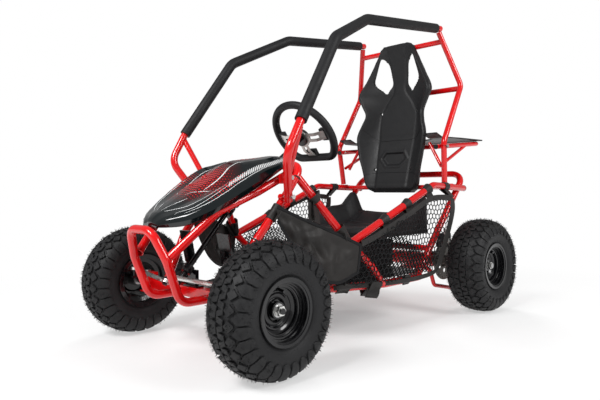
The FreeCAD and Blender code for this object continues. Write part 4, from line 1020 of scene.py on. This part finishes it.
def net_cords(outline, inset, shift):
    """Hexagonal mesh: zigzag cords that meet along short joints."""
    width, height = NET_CELL, NET_CELL * 0.86
    inward = Vector((-inset, 0.0, 0.0))
    section = circle(0.0017, 5)
    parts = []
    for row in range(NET_ROWS):
        for column in range(NET_COLUMNS):
            y = -0.33 + shift + column * width + (width / 2 if row % 2 else 0.0)
            z = 0.165 + shift + row * height
            for end in ((y - width / 2, z + height * 0.36), (y + width / 2, z + height * 0.36),
                        (y, z - height * 0.64)):
                if inside_outline(outline, y, z) and inside_outline(outline, *end):
                    line = [net_place(y, z) + inward, net_place(*end) + inward]
                    parts.append(sweep(line, section, (1, 0, 0)))
    return parts


def net_border():
    """Folded webbing along the net's top, rear and bottom, widest at the rear."""
    outline = [net_place(y, z) for y, z in NET_OUTLINE]
    top, rear, bottom = outline[3:9], outline[8:12], outline[11:] + outline[:1]
    return [sweep(spline(top, 5), flat_section(0.020, 0.0035), (0, 0, 1)),
            sweep(spline(rear, 5), flat_section(0.030, 0.0035), (0, 1, 0)),
            sweep(spline(bottom, 5), flat_section(0.016, 0.0040), (0, 0, 1))]


def strap_loop(centre, along, radius, width, tail):
    """Webbing round a tube, whose two ends hang down to the tail."""
    centre, along = Vector(centre), Vector(along).normalized()
    up = (UP - along * UP.dot(along)).normalized()
    across = along.cross(up)
    reach = radius + 0.0022
    points = []
    for k in range(19):
        angle = math.radians(-60 + 300 * k / 18)
        points.append(centre + up * math.sin(angle) * reach + across * math.cos(angle) * reach)
    tail = Vector(tail)
    points = [tail + across * 0.002] + points + [tail - across * 0.002]
    return sweep(spline(points, 3), flat_section(width, 0.0022), along)


PANEL_TOP = [(0.2225, -0.413, 0.432), (0.2480, -0.345, 0.398), (0.2700, -0.280, 0.368),
             (0.2950, -0.208, 0.336), (0.3165, -0.148, 0.306)]
PANEL_LOW = [(0.2225, -0.413, 0.392), (0.2420, -0.362, 0.305), (0.2620, -0.305, 0.232),
             (0.2870, -0.232, 0.196), (0.3130, -0.160, 0.222)]


def make_fabric_panel(side, word):
    """Coated cloth beside the driver's feet, creased and hemmed."""
    top = spline([(side * x, y, z) for x, y, z in PANEL_TOP], 14)
    low = spline([(side * x, y, z) for x, y, z in PANEL_LOW], 14)
    outward = Vector((side * 0.944, -0.33, 0)).normalized()
    rows = 26
    vertices = []
    for i in range(rows + 1):
        share = i / rows
        for j, (a, b) in enumerate(zip(top, low)):
            point = a.lerp(b, share)
            across = j / (len(top) - 1)
            pull = math.sin(across * math.pi) * math.sin(share * math.pi)
            fold = math.sin(across * 13.0 + share * 9.0)
            fold += 0.6 * math.sin(across * 29.0 - share * 7.0)
            crease = abs(mathnoise.noise(point * 22.0 + Vector((side, 3, 5))))
            vertices.append(point + outward * pull * (0.0050 * fold + 0.0200 * crease))
    faces = grid_faces(rows + 1, len(top))
    panel = new_piece(f"knee_panel_{word}", vertices, faces, "panel_fabric", sharp_angle=60.0)
    thickened(panel, 0.0016, 0.0)
    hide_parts(f"fabric_panel_{word}")
    count = len(top)
    edges = [vertices[:count], vertices[-count:], vertices[::count], vertices[count - 1::count]]
    hems = [sweep([p + outward * 0.0015 for p in edge], flat_section(0.009, 0.0028), (0, 0, 1))
            for edge in edges]
    piece_of_parts(f"knee_panel_hem_{word}", hems, "panel_fabric", "net_fabric")


SIDE_RAIL = [(0.288, -0.167, 0.310), (0.296, 0.301, 0.492), (0.270, 0.562, 0.479)]
DOOR_BAR = [(0.202, -0.312, 0.522), (0.265, -0.210, 0.370), (0.288, -0.167, 0.310)]


# tube, share of the way along it, radius, width, where the ends hang to
PANEL_STRAPS = [
    (DOOR_BAR, 0.50, TUBE, 0.050, (0.262, -0.300, 0.385)),
    (DOOR_BAR[1:], 0.55, TUBE + 0.002, 0.060, (0.300, -0.195, 0.325)),
    ([(0.200, -0.362, 0.460), (0.188, -0.467, 0.335)], 0.38, TUBE, 0.052, (0.226, -0.405, 0.415)),
]


def along_line(points, share):
    """Point and direction part of the way between the first two points."""
    a, b = Vector(points[0]), Vector(points[1])
    return a.lerp(b, share), b - a


def make_straps(side, word):
    """Loops that hold the net and the knee panel to the frame."""
    parts = []
    for share, width in ((0.36, 0.034), (0.63, 0.032), (0.90, 0.036)):
        centre, along = along_line(SIDE_RAIL, share)
        tail = net_place(centre.y + 0.006, centre.z - 0.034)
        parts.append(strap_loop(centre, along, TUBE, width, tail))
    centre, along = along_line(SIDE_RAIL[1:], 0.36)
    parts.append(strap_loop(centre, along, TUBE, 0.034, net_place(centre.y, 0.446)))
    for y, width, hang in ((-0.165, 0.042, 0.0), (-0.065, 0.044, 0.012), (0.100, 0.036, 0.0)):
        along = (0.341, 1.0, 0.0) if y < -0.005 else (0.0, 1.0, 0.0)
        parts.append(strap_loop((bottom_rail_x(y), y, 0.167 - hang), along, TUBE + hang, width,
                                net_place(y, 0.182)))
    for points, share, radius, width, tail in PANEL_STRAPS:
        parts.append(strap_loop(*along_line(points, share), radius, width, tail))
    parts += net_border()
    piece_of_parts(f"straps_{word}", parts, "panel_fabric", side=side)


def make_net(side, word):
    cords = net_cords(NET_OUTLINE, 0.0, 0.0)
    for inset, shift in ((0.009, 0.006), (0.016, 0.011)):
        cords += net_cords(NET_GATHERED, inset, shift)
    net = piece_of_parts(f"net_cords_{word}", cords, "net_fabric", side=side)
    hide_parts(f"side_net_{word}")


make_hood()
make_hood_graphics()
make_seat_back()
make_seat_seams()
make_seat_base()
for side, word in SIDES:
    make_fabric_panel(side, word)
    make_net(side, word)
    make_straps(side, word)


# ================================================================ small frame details
# joint, direction of the tube that ends there, its radius; left side, metres
WELDS = [((0.087, -0.690, 0.300), (0.054, 0.122, 0.122), TUBE),
         ((0.288, -0.167, 0.310), (0.008, 0.468, 0.182), TUBE),
         ((0.300, -0.026, 0.180), (0.0, -0.058, 0.066), TUBE),
         ((0.272, 0.420, 0.650), (-0.010, 0.016, -0.150), 0.0110),
         ((0.262, 0.250, 0.178), (0.0, 0.348, 0.371), TUBE)]


def bead(centre, direction, radius):
    """A ring of weld round the end of a tube, rippled along its length."""
    along = Vector(direction).normalized()
    line = ring(Vector(centre), along, [radius + 0.0006 + 0.0007 * (k % 2) for k in range(28)])
    return sweep(line + line[:1], circle(0.0019, 6), along)


def tie(centre, direction, radius):
    """A cable tie: a thin band with a small square head."""
    centre, along = Vector(centre), Vector(direction).normalized()
    line = ring(centre, along, [radius + 0.0010] * 24)
    side = along.orthogonal().normalized()
    half_head = along.cross(side) * 0.0035
    head = centre + side * (radius + 0.0030)
    return [sweep(line + line[:1], flat_section(0.0046, 0.0014), along),
            sweep([head - half_head, head + half_head], flat_section(0.0060, 0.0050), along)]


def make_welds():
    beads = []
    for centre, direction, radius in WELDS:
        beads.append(bead(centre, direction, radius))
        beads.append(bead(mirrored_point(centre), mirrored_point(direction), radius))
    piece_of_parts("weld_beads", beads, "frame_paint")


# radius, sides, the first side's direction and points of each cable, metres
CABLES = [
    (0.0046, 10, UP, [(-0.286, -0.020, 0.184), (-0.284, 0.080, 0.185), (-0.285, 0.170, 0.184),
                      (-0.270, 0.215, 0.190), (-0.240, 0.260, 0.205)]),
    (0.0026, 8, UP, [(-0.090, -0.470, 0.186), (-0.088, -0.430, 0.186), (-0.186, -0.255, 0.186),
                     (-0.226, -0.181, 0.186), (-0.284, -0.030, 0.186)]),
    (0.0030, 8, (1, 0, 0), [(0.176, -0.300, 0.545), (0.186, -0.362, 0.452), (0.176, -0.470, 0.325),
                            (0.148, -0.552, 0.206)]),
]
# place, direction of the tube, radius of what it holds, metres
TIES = [((-0.300, 0.060, 0.170), (0, 1, 0), 0.0165),
        ((-0.300, 0.150, 0.170), (0, 1, 0), 0.0165),
        ((0.194, -0.414, 0.398), (0.012, 0.105, 0.125), 0.0130),
        ((0.188, -0.467, 0.335), (0.02, 0.10, 0.14), 0.0130),
        ((0.204, -0.318, 0.518), (0.005, 0.070, 0.098), 0.0130),
        ((-0.194, -0.414, 0.398), (-0.012, 0.105, 0.125), 0.0130)]


def make_cables():
    """Wiring and a cable along the right bottom rail, one down the left dash leg, and ties."""
    parts = [sweep(spline(points), circle(radius, sides), first_side)
             for radius, sides, first_side, points in CABLES]
    for place, along, radius in TIES:
        parts += tie(place, along, radius)
    piece_of_parts("cables_and_ties", parts, "black_plastic")


def make_pedal_spring(node):
    """Return spring of a pedal: a coil of wire on the chassis."""
    low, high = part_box(node)
    wire = 0.0010
    radius = (high[0] - low[0]) / 2 - wire
    start, end = low[1] + wire, high[1] - wire
    middle_x, middle_z = (low[0] + high[0]) / 2, (low[2] + high[2]) / 2
    turns, steps = 4.5, 20
    line = []
    for k in range(int(turns * steps) + 1):
        angle = 2 * math.pi * k / steps
        y = start + (end - start) * k / (turns * steps)
        line.append(Vector((middle_x + radius * math.cos(angle), y,
                            middle_z + radius * math.sin(angle))))
    vertices, faces = sweep(line, circle(wire, 8), (0, 1, 0))
    spring = new_piece(f"{node}_coil", vertices, faces, "spring_steel")
    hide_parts(node)
    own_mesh(spring)


make_welds()
make_cables()
make_pedal_spring("brake_pedal_spring")
make_pedal_spring("accelerator_spring")


# ================================================================ studio
def floor_paint():
    """Pale matt paint that fades into the white background further out."""
    material = coated("floor_paint", (0.92, 0.92, 0.92), 0.75, grain=60.0, grain_depth=0.0002,
                      variation=0.01, specular=0.1)
    tree = material.node_tree
    place = add_node(tree, "ShaderNodeNewGeometry").outputs["Position"]
    glow = add_node(tree, "ShaderNodeEmission", None, {"Strength": 1.0})
    fade = ramp(tree, length_of(tree, place), 0.2, 1.9, 0.30, 1.0)
    blend = add_node(tree, "ShaderNodeMixShader", None,
                     {0: fade, 1: tree.nodes["Principled BSDF"].outputs["BSDF"],
                      2: glow.outputs["Emission"]})
    set_inputs(tree, tree.nodes["Material Output"], {"Surface": blend.outputs["Shader"]})
    return material


def make_floor():
    mesh = bpy.data.meshes.new("floor")
    half = 14.0
    mesh.from_pydata([(-half, -half, 0), (half, -half, 0), (half, half, 0), (-half, half, 0)], [],
                     [(0, 1, 2, 3)])
    floor = bpy.data.objects.new("floor", mesh)
    bpy.context.scene.collection.objects.link(floor)
    floor.data.materials.append(floor_paint())


def area_light(name, place, target, size, power, mirrored=True):
    data = bpy.data.lights.new(name, "AREA")
    data.shape = "RECTANGLE"
    data.size, data.size_y = size
    data.energy = power
    light = bpy.data.objects.new(name, data)
    bpy.context.scene.collection.objects.link(light)
    light.location = place
    light.visible_glossy = mirrored
    light.rotation_euler = (Vector(target) - Vector(place)).to_track_quat("-Z", "Y").to_euler()


def make_lights():
    world = bpy.data.worlds.new("studio")
    world.use_nodes = True
    background = world.node_tree.nodes["Background"]
    background.inputs["Color"].default_value = (1.0, 1.0, 1.0, 1.0)
    tree = world.node_tree
    seen = add_node(tree, "ShaderNodeLightPath").outputs["Is Camera Ray"]
    strength = add_node(tree, "ShaderNodeMapRange", None,
                        {"Value": seen, "To Min": 0.32, "To Max": 1.0}).outputs["Result"]
    tree.links.new(strength, background.inputs["Strength"])
    bpy.context.scene.world = world
    area_light("key", (0.2, -3.0, 2.9), (0, 0, 0.4), (1.8, 1.0), 125.0)
    area_light("side", (3.4, 0.6, 2.4), (0, 0, 0.4), (1.6, 1.2), 75.0)
    area_light("back", (-2.4, 2.6, 2.6), (0, 0, 0.6), (2.0, 1.0), 85.0, mirrored=False)


def make_camera():
    """Camera at the photograph's angle: from the front left, low down, looking slightly up."""
    yaw, pitch, roll = (math.radians(a) for a in (45.84, 1.87, -0.47))
    forward = Vector((-math.sin(yaw) * math.cos(pitch), math.cos(yaw) * math.cos(pitch),
                      math.sin(pitch)))
    right = forward.cross(UP).normalized()
    above = right.cross(forward)
    across = right * math.cos(roll) + above * math.sin(roll)
    top = above * math.cos(roll) - right * math.sin(roll)
    data = bpy.data.cameras.new("camera")
    data.sensor_width = 36.0
    data.lens = 33.98
    data.shift_x, data.shift_y = 0.0051, -0.0535
    camera = bpy.data.objects.new("camera", data)
    bpy.context.scene.collection.objects.link(camera)
    turn = Matrix((across, top, -forward)).transposed().to_4x4()
    camera.matrix_world = Matrix.Translation(Vector((1.4544, -1.5284, 0.4917))) @ turn
    bpy.context.scene.camera = camera


make_floor()
make_lights()
make_camera()
bpy.context.scene.view_settings.view_transform = "Standard"
